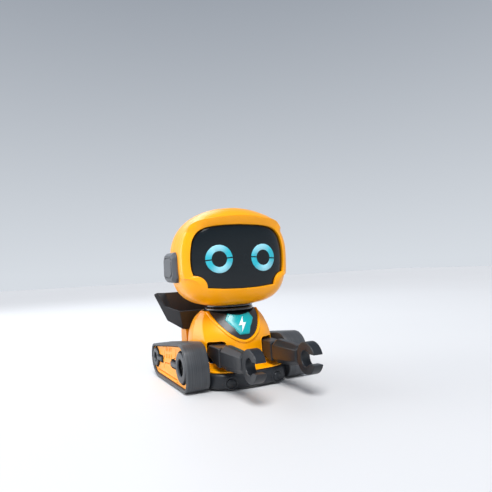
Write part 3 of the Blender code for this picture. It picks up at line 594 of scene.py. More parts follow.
def head_front_shape():
    """Front shell: lip, frame facet, brow visor, side and inner wall in one skin."""
    inner = face_outline()
    normals = outward_normals(inner)
    outer = [seam_point(math.atan2(z - FACE_CENTRE, x)) for x, z in inner]
    rings = []
    for shift, back in ((0.42, 3.0), (0.42, 1.1), (0.3, 0.45), (0.0, 0.0)):
        rings.append([(x - n.x * shift, head_front_y(x, z) + back, z - n.y * shift)
                      for (x, z), n in zip(inner, normals)])
    shares = [(FRAME, j / 7) for j in range(1, 8)] + [(VISOR, j / 7) for j in range(1, 8)]
    shares += [(FLANK, 1.0 - (1.0 - j / 22) ** 2.2) for j in range(1, 23)]
    for part, t in shares:
        rings.append([front_point(a, b, part, t) for a, b in zip(inner, outer)])
    for t in (0.0, 0.25, 0.55, 0.8, 1.0):
        rings.append([wall_point(a, b, n, t) for a, b, n in zip(inner, outer, normals)])
    return loft(rings, loop=True)


def head_rear_shape():
    """Rear shell: dome with its own inner wall."""
    outer = [seam_point(2.0 * math.pi * i / REAR_RING) for i in range(REAR_RING)]
    levels = [max(DOME_TIP, math.sin(0.5 * math.pi * k / DOME_RINGS))
              for k in range(DOME_RINGS + 1)]
    rings = []
    for scale, drop, order in ((1.0, 0.0, levels),
                               (1.0 - HEAD_WALL / 38.0, HEAD_WALL, levels[::-1])):
        for level in order:
            ring = []
            for ox, oz in outer:
                x, z = ox * level, (oz - FACE_CENTRE) * level
                y = head_rear_y(x, FACE_CENTRE + z) if level < 0.9999 else HEAD_Y
                ring.append((x * scale, max(HEAD_Y, y - drop) + GAP, FACE_CENTRE + z * scale))
            rings.append(ring)
    return loft(rings)


def screen_y(x, z):
    return head_front_y(x, z) + SCREEN_BACK * min(1.8, 1.0 / max(0.4, -face_normal(x, z).y))


def screen_shape():
    """Smoked lens behind the face window."""
    inner = face_outline()
    rim = [(x + n.x * SCREEN_RIM, z + n.y * SCREEN_RIM)
           for (x, z), n in zip(inner, outward_normals(inner))]
    return curved_plate(rim, (0.0, FACE_CENTRE), screen_y, 0.0, SCREEN_THICK, 24, 6)


def eye_shape(side, upper):
    """Half ring with rounded edges, standing 0.25 mm proud of the lens."""
    section = ((5.5, 0.6), (5.5, -0.12), (5.62, -0.25), (9.58, -0.25), (9.7, -0.12), (9.7, 0.6))
    tilt = side * EYE_TILT
    rings = []
    for i in range(EYE_STEPS + 1):
        ring = []
        for radius, depth in section:
            edge = math.asin(EYE_SPLIT / radius)
            a = edge + (math.pi - 2.0 * edge) * i / EYE_STEPS
            a = a if upper else -a
            x0, z0 = radius * math.cos(a), radius * math.sin(a)
            x = side * EYE_X + x0 * math.cos(tilt) + z0 * math.sin(tilt)
            z = EYE_Z - x0 * math.sin(tilt) + z0 * math.cos(tilt)
            ring.append((x, screen_y(x, z) + depth, z))
        rings.append(ring)
    return loft(rings)


def side_x(y, z):
    """Half width of the helmet at a point of its side."""
    width = head_size(z)[0]
    low, high = 0.5, 1.0
    for _ in range(30):
        mid = 0.5 * (low + high)
        depth = head_front_y(mid * width, z) if y < HEAD_Y else head_rear_y(mid * width, z)
        beyond = depth < y if y < HEAD_Y else depth > y
        low, high = (mid, high) if beyond else (low, mid)
    return low * width


def ear_shape(side):
    """Side cap: slanted skirt, step and raised panel."""
    outline = rounded([(-12.5, -7.4), (-9.4, -10.8), (9.0, -10.4), (12.5, -7.0), (12.5, 6.4),
                       (9.4, 10.6), (-9.8, 10.8), (-12.5, 7.6)], 0.6, 2)
    rings = [[(side * (side_x(EAR_Y + a, EAR_Z + b) + 0.1), EAR_Y + a, EAR_Z + b)
              for a, b in outline]]
    for across, tall, below in ((1.0, 1.0, 2.9), (0.98, 0.97, 2.4), (0.83, 0.82, 0.5),
                                (0.81, 0.8, 0.4), (0.72, 0.68, 0.4), (0.71, 0.67, 1.0),
                                (0.66, 0.61, 1.0), (0.65, 0.6, 0.15), (0.63, 0.58, 0.0),
                                (0.02, 0.02, 0.0)):
        x = side * (EAR_OUT - below)
        rings.append([(x, EAR_Y + a * across, EAR_Z + b * tall) for a, b in outline])
    return loft(rings)


def build_head():
    neck_hole = prism(circle(0.0, NECK_Y, NECK_HOLE, 64), "Z", 48.0, 62.0)
    front = mesh_object("helmet_front", head_front_shape())
    carve(front, [neck_hole])
    finish_piece(front, ORANGE, "head", "orange_shell", ["head_front_shell"], bevel=0.25,
                 angle=16.0, crease=30.0)
    rear = mesh_object("helmet_rear", head_rear_shape())
    carve(rear, [neck_hole])
    finish_piece(rear, ORANGE, "head", "orange_shell", ["head_rear_shell"], crease=50.0)
    piece("face_lens", screen_shape(), PIANO, "head", "black_gloss", ["face_screen"], crease=40.0)
    for label, side in SIDES:
        mat = glow("eye_glow_" + label, (0.26, 0.58, 0.68), (0.016, 0.4, 0.5),
                   (side * EYE_X * MM, EYE_Z * MM))
        for half, upper in (("upper", True), ("lower", False)):
            name = "eye_" + half + "_" + label
            piece("glow_" + name, eye_shape(side, upper), mat, "head", "eye_cyan", [name],
                  crease=50.0)
        piece("ear_" + label, ear_shape(side), EAR_GREY, "head", "charcoal_plastic",
              ["ear_cap_" + label], bevel=0.22, segments=2, angle=24.0)
    ring = [(16.4, 52.9), (17.0, 53.1), (17.2, 53.5), (17.2, 54.2), (16.6, 55.2), (14.0, 55.6),
            (9.6, 55.0), (9.6, 60.9), (7.35, 60.9), (7.35, 52.9)]
    piece("neck_turntable_ring", turned(ring, "Z", 0.0, NECK_Y, 96, loop=True), NECK_BLACK,
          "head", "black_gloss", ["neck_turntable"], crease=50.0)


# ----------------------------------------------------------------- torso

TORSO_Y = -6.0
TORSO_LOW, TORSO_HIGH = 11.8, 50.5
TORSO_W = 29.0
TORSO_WALL = 1.6
TORSO_ROWS = 56
# Height, half width, front depth, rear depth, and the power of the rear's curve.
TORSO_STATIONS = (
    (11.8, 29.5, 32.2, 27.0, 3.4),
    (13.2, 29.5, 30.6, 27.0, 3.3),
    (16.0, 29.5, 29.2, 27.0, 3.15),
    (21.0, 29.5, 28.4, 27.0, 3.0),
    (29.0, 29.5, 28.0, 27.0, 2.8),
    (33.0, 29.3, 27.4, 26.4, 2.7),
    (37.5, 28.6, 25.6, 25.2, 2.6),
    (43.7, 26.4, 21.6, 22.4, 2.45),
    (47.0, 24.3, 19.6, 20.6, 2.3),
    (50.5, 20.6, 17.8, 18.0, 2.1),
)
TORSO_TABLE = catmull(TORSO_STATIONS, 12)
CREASE_ROUND = 0.014
CREASE_LOW, CREASE_TALL = 30.0, 20.5
INSERT_LOW, INSERT_HIGH = 31.0, 50.2
INSERT_TOP = 50.3
INSERT_W = 18.0
# The chest opening is cut past the top of the bell, so it stays open there.
OPENING_TOP = 53.5
OPENING_GROW, LIP_GROW, INSERT_SHRINK = 0.35, 1.35, 0.05
BADGE_LOW, BADGE_TOP = 34.5, 48.7
BADGE_WIDEST = 44.6
BADGE_FOOT_W, BADGE_W, BADGE_TOP_W = 3.6, 10.9, 8.2
BADGE_SAG = 1.3
BADGE_CENTRE = (0.0, 42.5)
WINDOW = ((13.6, 17.8), (15.3, 15.8), (23.4, 15.8), (25.0, 17.8), (25.0, 29.0), (24.0, 30.4),
          (15.2, 30.7), (13.6, 29.6))


def torso_section(z):
    """Half width, front depth, rear depth and power of the torso at a height."""
    table = TORSO_TABLE
    if z <= table[0][0]:
        return table[0][1:]
    for low, high in zip(table, table[1:]):
        if z <= high[0]:
            t = (z - low[0]) / max(1e-9, high[0] - low[0])
            return tuple(a + t * (b - a) for a, b in zip(low[1:], high[1:]))
    return table[-1][1:]


def sharp_depth(u, at, depth):
    """Depth share of the front: a crowned face up to the crease, then a flat side."""
    u = min(1.0, abs(u))
    if u <= at:
        return 1.0 - (1.0 - depth) * (u / at) ** 2
    return depth * (1.0 - (u - at) / (1.0 - at))


def torso_depth(u, z):
    """Depth share with the crease rounded over a short width."""
    t = min(1.0, max(0.0, (z - CREASE_LOW) / CREASE_TALL))
    at = 0.88 + 0.07 * t
    depth = 0.58 - 0.28 * t
    u = abs(u)
    if abs(u - at) > CREASE_ROUND:
        return sharp_depth(u, at, depth)
    near = CREASE_ROUND - abs(u - at)
    return sum(sharp_depth(u + near * k / 2.0, at, depth) for k in range(-2, 3)) / 5.0


def torso_front_y(x, z):
    width, front, _, _ = torso_section(z)
    return TORSO_Y - front * torso_depth(min(1.0, abs(x) / width), z)


def torso_half(rear):
    """Front or rear half of the bell, with its inner wall, section by section sideways."""
    if rear:
        shares = [math.sin(math.pi * (i / 96 - 0.5)) for i in range(97)]
    else:
        half = [0.85 * k / 34 for k in range(35)] + [0.85 + 0.15 * k / 24 for k in range(1, 25)]
        shares = [-u for u in reversed(half[1:])] + half
    levels = [TORSO_LOW + (TORSO_HIGH - TORSO_LOW) * j / TORSO_ROWS
              for j in range(TORSO_ROWS + 1)]
    middle = TORSO_Y + GAP if rear else TORSO_Y
    rings = []
    for u in shares:
        ring = []
        for scale, order in ((1.0, levels), (1.0 - TORSO_WALL / TORSO_W, levels[::-1])):
            for z in order:
                width, front, back, power = torso_section(z)
                y = back * superarc(u, power) if rear else -front * torso_depth(u, z)
                ring.append((u * width * scale, middle + y * scale, z))
        rings.append(ring)
    return loft(rings)


def insert_half_width(z):
    t = min(1.0, max(0.0, (z - INSERT_LOW) / (INSERT_HIGH - INSERT_LOW)))
    return INSERT_W * (1.0 - (1.0 - t) ** 1.5) ** 0.56


def chest_line(grow, top):
    """Right half of the chest opening, from its lowest point up, moved out by grow."""
    steps = 40
    half = []
    for k in range(steps + 1):
        z = INSERT_LOW + (top - INSERT_LOW) * (k / steps) ** 2
        half.append((insert_half_width(z), z))
    out = [(half[0][0], half[0][1] - grow)]
    for i in range(1, steps + 1):
        x, z = half[i]
        ax, az = half[i - 1]
        bx, bz = half[min(steps, i + 1)]
        n = Vector((bz - az, -(bx - ax))).normalized()
        out.append((x + n.x * grow, z + n.y * grow))
    return out


def swept(path, radius, steps=10, closed=False, squash=1.0):
    """Round bead along a path of points."""
    count = len(path)
    rings = []
    for i, p in enumerate(path):
        a = Vector(path[i - 1] if closed or i else path[0])
        b = Vector(path[(i + 1) % count] if closed or i < count - 1 else path[-1])
        tangent = (b - a).normalized()
        side = tangent.cross(Vector((0.0, 1.0, 0.0)))
        side = side.normalized() if side.length > 1e-6 else Vector((1.0, 0.0, 0.0))
        up = side.cross(tangent).normalized() * squash
        rings.append([tuple(Vector(p) + side * u + up * v)
                      for u, v in circle(0.0, 0.0, radius, steps)])
    return loft(rings, loop=closed)


def arm_window(side, grow=0.0):
    points = rounded([(side * x, z) for x, z in WINDOW], 1.6, 4)
    if side < 0:
        points = points[::-1]
    return inset_outline(points, -grow) if grow else points


def curved_plate(outline, centre, surface, front, back, levels=10, back_levels=None):
    """Plate with a given outline that follows a surface, between two depths behind it."""
    cx, cz = centre
    back_levels = back_levels or levels
    rings = []
    for depth, count, order in ((front, levels, range(1, levels + 1)),
                                (back, back_levels, range(back_levels, 0, -1))):
        for k in order:
            ring = []
            for x, z in outline:
                px, pz = cx + (x - cx) * k / count, cz + (z - cz) * k / count
                ring.append((px, surface(px, pz) + depth, pz))
            rings.append(ring)
    return loft(rings)


def badge_outline(shrink=0.0):
    """Shield: narrow foot, wide shoulders and a sagging top edge."""
    corner = BADGE_TOP_W - 0.8 * shrink
    half = [(0.0, BADGE_LOW + shrink), (BADGE_FOOT_W - 0.4 * shrink, BADGE_LOW + shrink),
            (BADGE_W - shrink, BADGE_WIDEST), (corner, BADGE_TOP - shrink)]
    for k in range(1, 7):
        x = corner * (1.0 - k / 6.0)
        sag = BADGE_SAG * (1.0 - (x / BADGE_TOP_W) ** 2)
        half.append((x, BADGE_TOP - shrink - sag))
    return closed_line(half)


def build_bell():
    """Two shells, with the chest opening and the arm windows cut and edged."""
    front = mesh_object("bell_front", torso_half(False))
    cuts = [prism(closed_line(chest_line(OPENING_GROW, OPENING_TOP)), "Y", -50.0, -9.5)]
    cuts += [prism(arm_window(side), "Y", -46.0, -14.0) for _, side in SIDES]
    carve(front, cuts)
    finish_piece(front, ORANGE, "chassis", "orange_shell", ["torso_front_shell"], crease=38.0)
    lip = [(x, torso_front_y(x, z), z) for x, z in chest_line(LIP_GROW, INSERT_TOP)]
    lip = [(-x, y, z) for x, y, z in reversed(lip) if x > 0.001] + lip
    piece("chest_lip", swept(lip, 1.15, 14, squash=0.62), ORANGE, "chassis", "orange_shell",
          crease=60.0)
    for label, side in SIDES:
        rim = [(x, torso_front_y(x, z) + 0.2, z) for x, z in arm_window(side, 0.3)]
        piece("arm_window_rim_" + label, swept(rim, 0.42, closed=True), ORANGE, "chassis",
              "orange_shell", crease=60.0)
    piece("bell_sill", bell_foot(), ORANGE, "chassis", "orange_shell", crease=40.0)
    piece("bell_rear", torso_half(True), ORANGE, "chassis", "orange_shell",
          ["torso_rear_shell"], crease=38.0)


def build_chest():
    """Collar insert, badge and its bolt icon."""
    insert = closed_line(chest_line(-INSERT_SHRINK, INSERT_TOP))
    piece("chest_panel", curved_plate(insert, (0.0, 46.0), torso_front_y, 0.55, 2.2, 14),
          CHARCOAL_SOFT, "chassis", "charcoal_plastic", ["chest_insert"], crease=40.0)
    base = curved_plate(badge_outline(), BADGE_CENTRE, torso_front_y, -0.1, 0.5)
    face = curved_plate(badge_outline(0.8), BADGE_CENTRE, torso_front_y, -0.55, 0.3)
    piece("badge_shield", merged(base, face), TEAL, "chassis", "badge_teal", ["chest_badge"],
          bevel=0.25, segments=2, angle=35.0)
    bolt = [(1.6, 46.4), (-3.0, 40.7), (-0.5, 40.7), (-1.9, 36.4), (3.1, 42.3), (0.5, 42.3)]
    piece("badge_bolt", curved_plate(bolt, (0.05, 41.5), torso_front_y, -0.95, -0.3, 4), WHITE,
          "chassis", "icon_white", ["badge_icon"], bevel=0.12, segments=2)


def build_neck():
    ring = [(17.5, 50.6), (18.1, 50.7), (18.2, 51.0), (18.2, 51.9), (17.9, 52.4), (17.2, 52.6),
            (7.45, 52.6), (7.45, 50.6)]
    piece("collar_ring", turned(ring, "Z", 0.0, NECK_Y, 96, loop=True), NECK_BLACK, "chassis",
          "charcoal_plastic", ["neck_collar"], crease=50.0)
    tube = [(7.0, 44.0), (7.0, 61.4), (6.6, 61.9), (4.6, 61.9), (4.6, 44.0)]
    piece("neck_tube", turned(tube, "Z", 0.0, NECK_Y, 72, loop=True), ACETAL, "chassis",
          "natural_plastic", ["neck_post"], crease=40.0)


# --------------------------------------------------------------- chassis

ARM_X = 19.3
HULL_W = 29.7
HULL_NOSE = -46.5
HULL_REAR = 38.0
HULL_CORNER = 4.0
HULL_LOW = 1.5
HULL_TOP = 11.5
HULL_FLOOR = 9.9
BOW_Y = -31.0
SILL_ARM = 6.6
SILL_RISE, SILL_MIDDLE, SILL_CORNER = 2.3, 4.0, 3.0
BOSS_TURN = 30.0
BOSS_Z = 5.4


def hull_bow(turn, inset, nose_extra=0.0):
    """Point of the bow, turn degrees round from the middle of the nose."""
    t = math.radians(abs(turn))
    x = (HULL_W - inset) * math.sin(t) ** 0.8
    nose = HULL_NOSE + inset + nose_extra
    return math.copysign(x, turn), BOW_Y + (nose - BOW_Y) * math.cos(t) ** 0.9


def hull_line(inset, nose_extra=0.0):
    """Outline of the hull from above: round bow, straight sides, bent rear corners."""
    w, rear = HULL_W - inset, HULL_REAR - inset
    half = [hull_bow(90.0 * k / 24, inset, nose_extra) for k in range(25)]
    half += [(w, -10.0), (w, 12.0)]
    half += bend((w, rear - HULL_CORNER), (w, rear), (w - HULL_CORNER, rear), 6)
    half.append((0.0, rear))
    return closed_line(half)


def hull_boss(side):
    """Round bumper knob in a shallow ring, low on each side of the bow."""
    ax, ay = hull_bow((BOSS_TURN + 2.0) * side, 0.0)
    bx, by = hull_bow((BOSS_TURN - 2.0) * side, 0.0)
    along = Vector((ax - bx, ay - by, 0.0)).normalized()
    out = Vector((-along.y, along.x, 0.0)) * -side
    centre = Vector((*hull_bow(BOSS_TURN * side, 0.0), BOSS_Z))
    rings = []
    for radius, height in ((4.6, -0.9), (4.6, 0.15), (4.3, 0.4), (3.5, 0.4), (3.3, 0.1),
                           (3.05, 0.1), (2.95, 0.75), (2.5, 1.25), (1.5, 1.55), (0.1, 1.65)):
        rings.append([tuple(centre + out * height + along * a + Vector((0.0, 0.0, b)))
                      for a, b in circle(0.0, 0.0, radius, 40)])
    return loft(rings)


def sill_section(turn):
    """Section of the sill at one turn round the bow: outer edge, sweep, torso wall."""
    section = [(*hull_bow(turn, inset), HULL_TOP + rise)
               for inset, rise in ((2.2, 0.1), (1.7, 0.4), (1.8, 0.9), (2.6, 1.3))]
    u = math.copysign(0.97 * math.sin(math.radians(abs(turn))) ** 0.8, turn)
    reach = abs(u) * HULL_W
    between_arms = smooth_step((ARM_X - SILL_ARM - reach) / 3.5)
    outside_arms = smooth_step((reach - ARM_X - SILL_ARM) / 2.5)
    top = SILL_RISE + SILL_MIDDLE * between_arms + SILL_CORNER * outside_arms
    wall = []
    for rise, depth in ((top, 0.0), (top, 1.2), (0.1, 1.2)):
        width, front, _, _ = torso_section(HULL_TOP + rise)
        y = TORSO_Y - front * torso_depth(u, HULL_TOP + rise)
        wall.append((u * (width - depth), y + depth, HULL_TOP + rise))
    foot, crown = Vector(section[-1]), Vector(wall[0])
    for share, lift in ((0.35, 0.16), (0.65, 0.42), (0.86, 0.74)):
        sweep = foot.lerp(crown, share)
        sweep.z = foot.z + (crown.z - foot.z) * lift
        section.append(tuple(sweep))
    return section + wall


def bell_foot():
    """Sill that carries the bell out to the edge of the bow."""
    return loft([sill_section(3.0 * k) for k in range(-30, 31)])


def build_chassis():
    rings = [[(x, y, z) for x, y in hull_line(inset, extra)] for inset, z, extra in (
        (2.6, HULL_LOW, 0.4), (0.9, HULL_LOW, 0.3), (0.3, 2.2, 0.1), (0.0, 3.6, 0.0),
        (0.0, 7.6, 0.0), (0.15, 9.4, 0.15), (0.5, 10.6, 0.35), (1.2, 11.3, 0.5),
        (2.1, HULL_TOP, 0.6), (7.0, HULL_TOP, 0.6), (7.0, HULL_FLOOR, 0.6),
        (1.9, HULL_FLOOR, 0.0))]
    tub = mesh_object("hull_shell", loft(rings, loop=True))
    carve(tub, [turned([(1.5, -40.0), (1.5, 40.0)], "X", 7.0, 8.0, 24)])
    finish_piece(tub, CHARCOAL, "chassis", "charcoal_plastic", ["hull_tub"], crease=42.0)
    for label, side in SIDES:
        piece("hull_boss_" + label, hull_boss(side), CHARCOAL, "chassis", "charcoal_plastic",
              crease=40.0)


# ---------------------------------------------------------------- tracks

PLATE_BACK, PLATE_FACE = 42.4, 44.8
PLATE_INSET = 2.45
LINE_WIDTH, LINE_DEPTH = 0.75, 0.8
VENT_ROWS, VENT_COLUMNS = 2, 4
VENT_Y, VENT_Z = -3.4, 25.2
VENT_ACROSS, VENT_DOWN, VENT_SLOPE = 4.0, 4.9, 0.11
VENT_W, VENT_H, VENT_DEPTH = 0.7, 1.6, 1.2
HUB_BASE, HUB_FACE = 43.3, 46.3
HUB_CLEAR = 1.3
FRONT_HUB = (-27.7, 16.3, 10.0)
REAR_HUB = (34.4, 14.8, 6.6)
TRACK_LINE = rounded([(-35.8, 0.8), (35.0, 0.8), (42.7, 6.6), (45.8, 13.1), (43.4, 24.0),
                      (3.2, 28.9), (-27.4, 32.3), (-35.6, 28.6), (-41.1, 17.5), (-40.6, 5.6)],
                     4.8, 8)
# Hub, the hub that its bar points to, and the bar's width and reach.
HUBS = (("front", FRONT_HUB, REAR_HUB, (3.8, 12.0)), ("rear", REAR_HUB, FRONT_HUB, (3.0, 9.5)))


def along_bar(hub, other, local):
    """Points given along and across the line from one hub to the other."""
    y, z, _ = hub
    heading = math.atan2(other[1] - z, other[0] - y)
    c, s = math.cos(heading), math.sin(heading)
    return [(y + a * c - b * s, z + a * s + b * c) for a, b in local]


def keyhole(hub, other, bar, grow, steps=48):
    """Outline of a hub with its pointer bar, counted anticlockwise from the bar."""
    width, reach = bar
    r = hub[2] + grow
    w = 0.5 * width + grow
    tip = r + reach
    opening = math.asin(w / r)
    local = [(tip - 0.6, -w), (tip, 0.55 - w), (tip, w - 0.55), (tip - 0.6, w)]
    for k in range(steps + 1):
        a = opening + (2.0 * math.pi - 2.0 * opening) * k / steps
        local.append((r * math.cos(a), r * math.sin(a)))
    return along_bar(hub, other, local)


def hub_cuts(side, hub, other, bar):
    """Bore of a hub and the two fine lines along its bar."""
    y, z, radius = hub
    cuts = [side_turned([(radius * 0.58, 43.6), (radius * 0.58, HUB_FACE - 0.5),
                         (radius * 0.63, HUB_FACE + 0.2)], side, y, z, 56)]
    near, far = radius * 0.75, radius + bar[1] - 0.9
    for middle in (-0.27, 0.27):
        low, high = ((middle + edge) * bar[0] * 1.6 for edge in (-0.035, 0.035))
        line = along_bar(hub, other, [(near, low), (far, low), (far, high), (near, high)])
        cuts.append(side_prism(line, side, HUB_FACE - 0.4, HUB_FACE + 1.0))
    return cuts


def build_hub(tag, side, hub, other, bar):
    """Hub ring with its pointer bar, standing in a pocket of the side plate that is lined in
    black as painted shadow.
    """
    y, z, radius = hub
    outline = keyhole(hub, other, bar, 0.0)
    body = mesh_object("hub_" + tag, loft([
        [(side * x, a, b) for a, b in (inset_outline(outline, inset) if inset else outline)]
        for inset, x in ((0.0, HUB_BASE), (0.0, HUB_FACE - 0.3), (0.1, HUB_FACE - 0.1),
                         (0.3, HUB_FACE))]))
    carve(body, hub_cuts(side, hub, other, bar))
    finish_piece(body, HUB_GREY, "chassis", "hub_grey", ["track_hub_" + tag], crease=32.0)
    core = [(radius * share, x) for share, x in (
        (0.57, 43.4), (0.57, 43.7), (0.4, 43.8), (0.36, 44.3), (0.2, 44.4), (0.17, 44.0),
        (0.12, 44.0), (0.1, 45.0), (0.04, 45.1))]
    piece("hub_core_" + tag, side_turned(core, side, y, z, 40), HUB_BLACK_AND_SHADE, "chassis",
          "hub_grey", crease=30.0)
    axle = [(radius * 0.085, 44.8), (radius * 0.085, 45.3), (radius * 0.05, 45.4)]
    piece("hub_axle_" + tag, side_turned(axle, side, y, z, 20), HUB_BLACK_AND_SHADE, "chassis",
          "hub_grey", crease=30.0)
    # Black ring round the hub, 0.4 mm proud of the plate: painted shadow of the gap between hub
    # and plate.
    rim = mesh_object("hub_shadow_rim_" + tag, loft([
        [(side * x, a, b) for a, b in keyhole(hub, other, bar, grow)]
        for grow, x in ((1.2, 42.5), (1.2, 45.1), (1.1, 45.2), (0.3, 45.2))]))
    hole = [(radius * 0.56, 43.2), (radius * 0.56, 46.0)]
    carve(rim, [side_turned(hole, side, y, z, 56)])
    finish_piece(rim, HUB_BLACK_AND_SHADE, "chassis", "hub_grey", crease=30.0)


def groove(points, width):
    """Outlines of the straight stretches of a panel line."""
    out = []
    for (y0, z0), (y1, z1) in zip(points, points[1:]):
        d = Vector((y1 - y0, z1 - z0)).normalized() * 0.5 * width
        out.append([(y0 - d.y - d.x, z0 + d.x - d.y), (y0 + d.y - d.x, z0 - d.x - d.y),
                    (y1 + d.y + d.x, z1 - d.x + d.y), (y1 - d.y + d.x, z1 + d.x + d.y)])
    return out


def vent_cuts(side):
    cuts = []
    for row in range(VENT_ROWS):
        for column in range(VENT_COLUMNS):
            y = VENT_Y + VENT_ACROSS * column
            z = VENT_Z - VENT_SLOPE * (y + 4.0) - VENT_DOWN * row
            slot = rounded([(y - VENT_W, z - VENT_H), (y + VENT_W, z - VENT_H),
                            (y + VENT_W, z + VENT_H), (y - VENT_W, z + VENT_H)], 0.5, 3)
            cuts.append(side_prism(slot, side, PLATE_FACE - VENT_DEPTH, PLATE_FACE + 1.0))
    return cuts


def build_track_plate(label, side):
    """Orange side plate: hub pockets, vents, panel lines and a raised border below."""
    plate = mesh_object("track_panel_" + label, side_prism(
        inset_outline(TRACK_LINE, PLATE_INSET), side, PLATE_BACK, PLATE_FACE))
    cuts = [side_prism(keyhole(hub, other, bar, HUB_CLEAR), side, PLATE_BACK - 1.0,
                       PLATE_FACE + 1.0) for _, hub, other, bar in HUBS]
    cuts += vent_cuts(side)
    for points in ([(-15.4, 26.6), (-13.0, 20.4), (-6.4, 18.2)],
                   [(15.0, 25.4), (13.2, 18.6), (19.6, 13.6)],
                   [(-12.0, 12.8), (-8.6, 15.6), (12.6, 13.4), (15.6, 9.4)],
                   [(-16.0, 6.0), (30.0, 6.0)]):
        cuts += [side_prism(quad, side, PLATE_FACE - LINE_DEPTH, PLATE_FACE + 1.0)
                 for quad in groove(points, LINE_WIDTH)]
    carve(plate, cuts)
    finish_piece(plate, ORANGE_DEEP, "chassis", "orange_shell", ["track_plate_" + label],
                 bevel=0.14, segments=2, angle=40.0)
    rail = [(side * PLATE_FACE, y, 4.6) for y in (-17.0, 32.0)]
    piece("track_rail_" + label, swept(rail, 0.55), ORANGE_DEEP, "chassis", "orange_shell",
          crease=60.0)


def build_tracks():
    for label, side in SIDES:
        rings = [[(side * x, a, b) for a, b in inset_outline(TRACK_LINE, inset)] for inset, x in (
            (0.9, 30.0), (0.25, 30.2), (0.0, 30.9), (0.0, 45.4), (0.2, 46.1), (0.7, 46.45),
            (1.3, 46.45), (1.75, 46.1), (1.95, 45.4), (2.1, 43.6), (2.1, 32.0))]
        piece("track_belt_" + label, loft(rings), TRACK_DARK, "chassis", "track_dark",
              ["track_band_" + label], crease=50.0)
        build_track_plate(label, side)
        for name, hub, other, bar in HUBS:
            build_hub(name + "_" + label, side, hub, other, bar)


# ------------------------------------------------------------------ arms

ARM_PIVOT_Y = -27.0
ARM_Z = 22.3
BLOCK_HALF = 5.3
BLOCK_ROUND = 4.5
SEAM_Y = -44.0
CLAW_Y = -84.2
CLAW_Z = 23.4
CLAW_BACK = -74.5
CLAW_RADIUS, CLAW_BORE = 10.1, 4.9
CLAW_MOUTH, CLAW_THICK = 6.0, 6.8
# Place along the arm, half width, half height, height of the middle, and chamfer.
FOREARM_SECTIONS = (
    (SEAM_Y, 4.6, 6.6, ARM_Z, 2.8),
    (SEAM_Y - 0.8, 5.0, 7.4, 22.4, 3.1),
    (SEAM_Y - 3.4, 5.5, 8.2, 22.7, 3.6),
    (-66.0, 4.8, 7.2, 22.9, 3.0),
    (-72.6, 4.2, 6.0, CLAW_Z, 2.3),
    (-74.2, 3.6, 5.2, CLAW_Z, 1.8),
)


def octagon_ring(x, y, w, h, middle, cut):
    corners = [(w, h - cut), (w - cut, h), (cut - w, h), (-w, h - cut), (-w, cut - h),
               (cut - w, -h), (w - cut, -h), (w, cut - h)]
    return [(x + a, y, middle + b) for a, b in corners]


def claw_shape(x):
    """C-shaped ring that opens forwards, with a flat back on the forearm."""
    out_half = math.degrees(math.asin(CLAW_MOUTH / 2 / CLAW_RADIUS))
    in_half = math.degrees(math.asin(CLAW_MOUTH / 2 / CLAW_BORE))
    outer = arc(CLAW_Y, CLAW_Z, CLAW_RADIUS, 180.0 + out_half, 540.0 - out_half, 72)
    inner = arc(CLAW_Y, CLAW_Z, CLAW_BORE, 540.0 - in_half, 180.0 + in_half, 40)
    outline = [(min(y, CLAW_BACK), z) for y, z in outer + inner]
    return prism(outline, "X", x - CLAW_THICK / 2, x + CLAW_THICK / 2)


def build_arms():
    for label, side in SIDES:
        x = side * ARM_X
        outline = arc(ARM_PIVOT_Y, 24.4, BLOCK_ROUND, 90.0, -90.0, 24)
        outline += [(SEAM_Y + 3.0, ARM_Z - 6.9), (SEAM_Y + 0.35, ARM_Z - 6.1),
                    (SEAM_Y + 0.35, ARM_Z + 6.0), (SEAM_Y + 3.0, ARM_Z + 6.6)]
        piece("shoulder_block_" + label, prism(outline, "X", x - BLOCK_HALF, x + BLOCK_HALF),
              CHARCOAL, "shoulder_" + label, "charcoal_plastic", ["arm_shoulder_" + label],
              bevel=0.9)
        forearm = loft([octagon_ring(x, *section) for section in FOREARM_SECTIONS])
        piece("forearm_shell_" + label, forearm, CHARCOAL, "hand_" + label,
              "charcoal_plastic", ["forearm_" + label], bevel=0.45, angle=18.0)
        piece("claw_ring_" + label, claw_shape(x), CHARCOAL, "hand_" + label,
              "charcoal_plastic", ["claw_" + label], bevel=0.8, segments=4, angle=40.0)


# ---------------------------------------------------------------- hopper

BIN_WALL = 1.5
SADDLE_HALF = 24.0
# Corners of the hopper's right half: distance from the middle, place, height.
BIN_CORNERS = {
    "wing": (45.6, 35.0, 63.0), "knee": (38.0, 30.6, 53.0), "front": (29.0, 22.4, 49.0),
    "tail": (35.0, 44.6, 63.0), "low_front": (26.0, 24.6, 35.0), "low_side": (36.0, 33.0, 42.0),
    "low_tail": (26.0, 39.6, 36.5)}
BIN_SIDE_FACES = (
    ("wing", "knee", "low_side"), ("knee", "front", "low_front"),
    ("knee", "low_front", "low_side"), ("wing", "low_side", "tail"),
    ("tail", "low_side", "low_tail"), ("low_side", "low_front", "low_tail"))
BIN_MIDDLE_FACES = (("front", "low_front"), ("low_front", "low_tail"), ("low_tail", "tail"))


def bin_sheet():
    """Open sheet of the hopper, faceted, before it gets its wall thickness."""
    verts, index = [], {}
    for label, side in SIDES:
        for key, (x, y, z) in BIN_CORNERS.items():
            index[key, label] = len(verts)
            verts.append((side * x, y, z))
    faces = [tuple(index[key, label] for key in corners)
             for label, _ in SIDES for corners in BIN_SIDE_FACES]
    for a, b in BIN_MIDDLE_FACES:
        faces.append((index[a, "right"], index[b, "right"], index[b, "left"], index[a, "left"]))
    return verts, faces


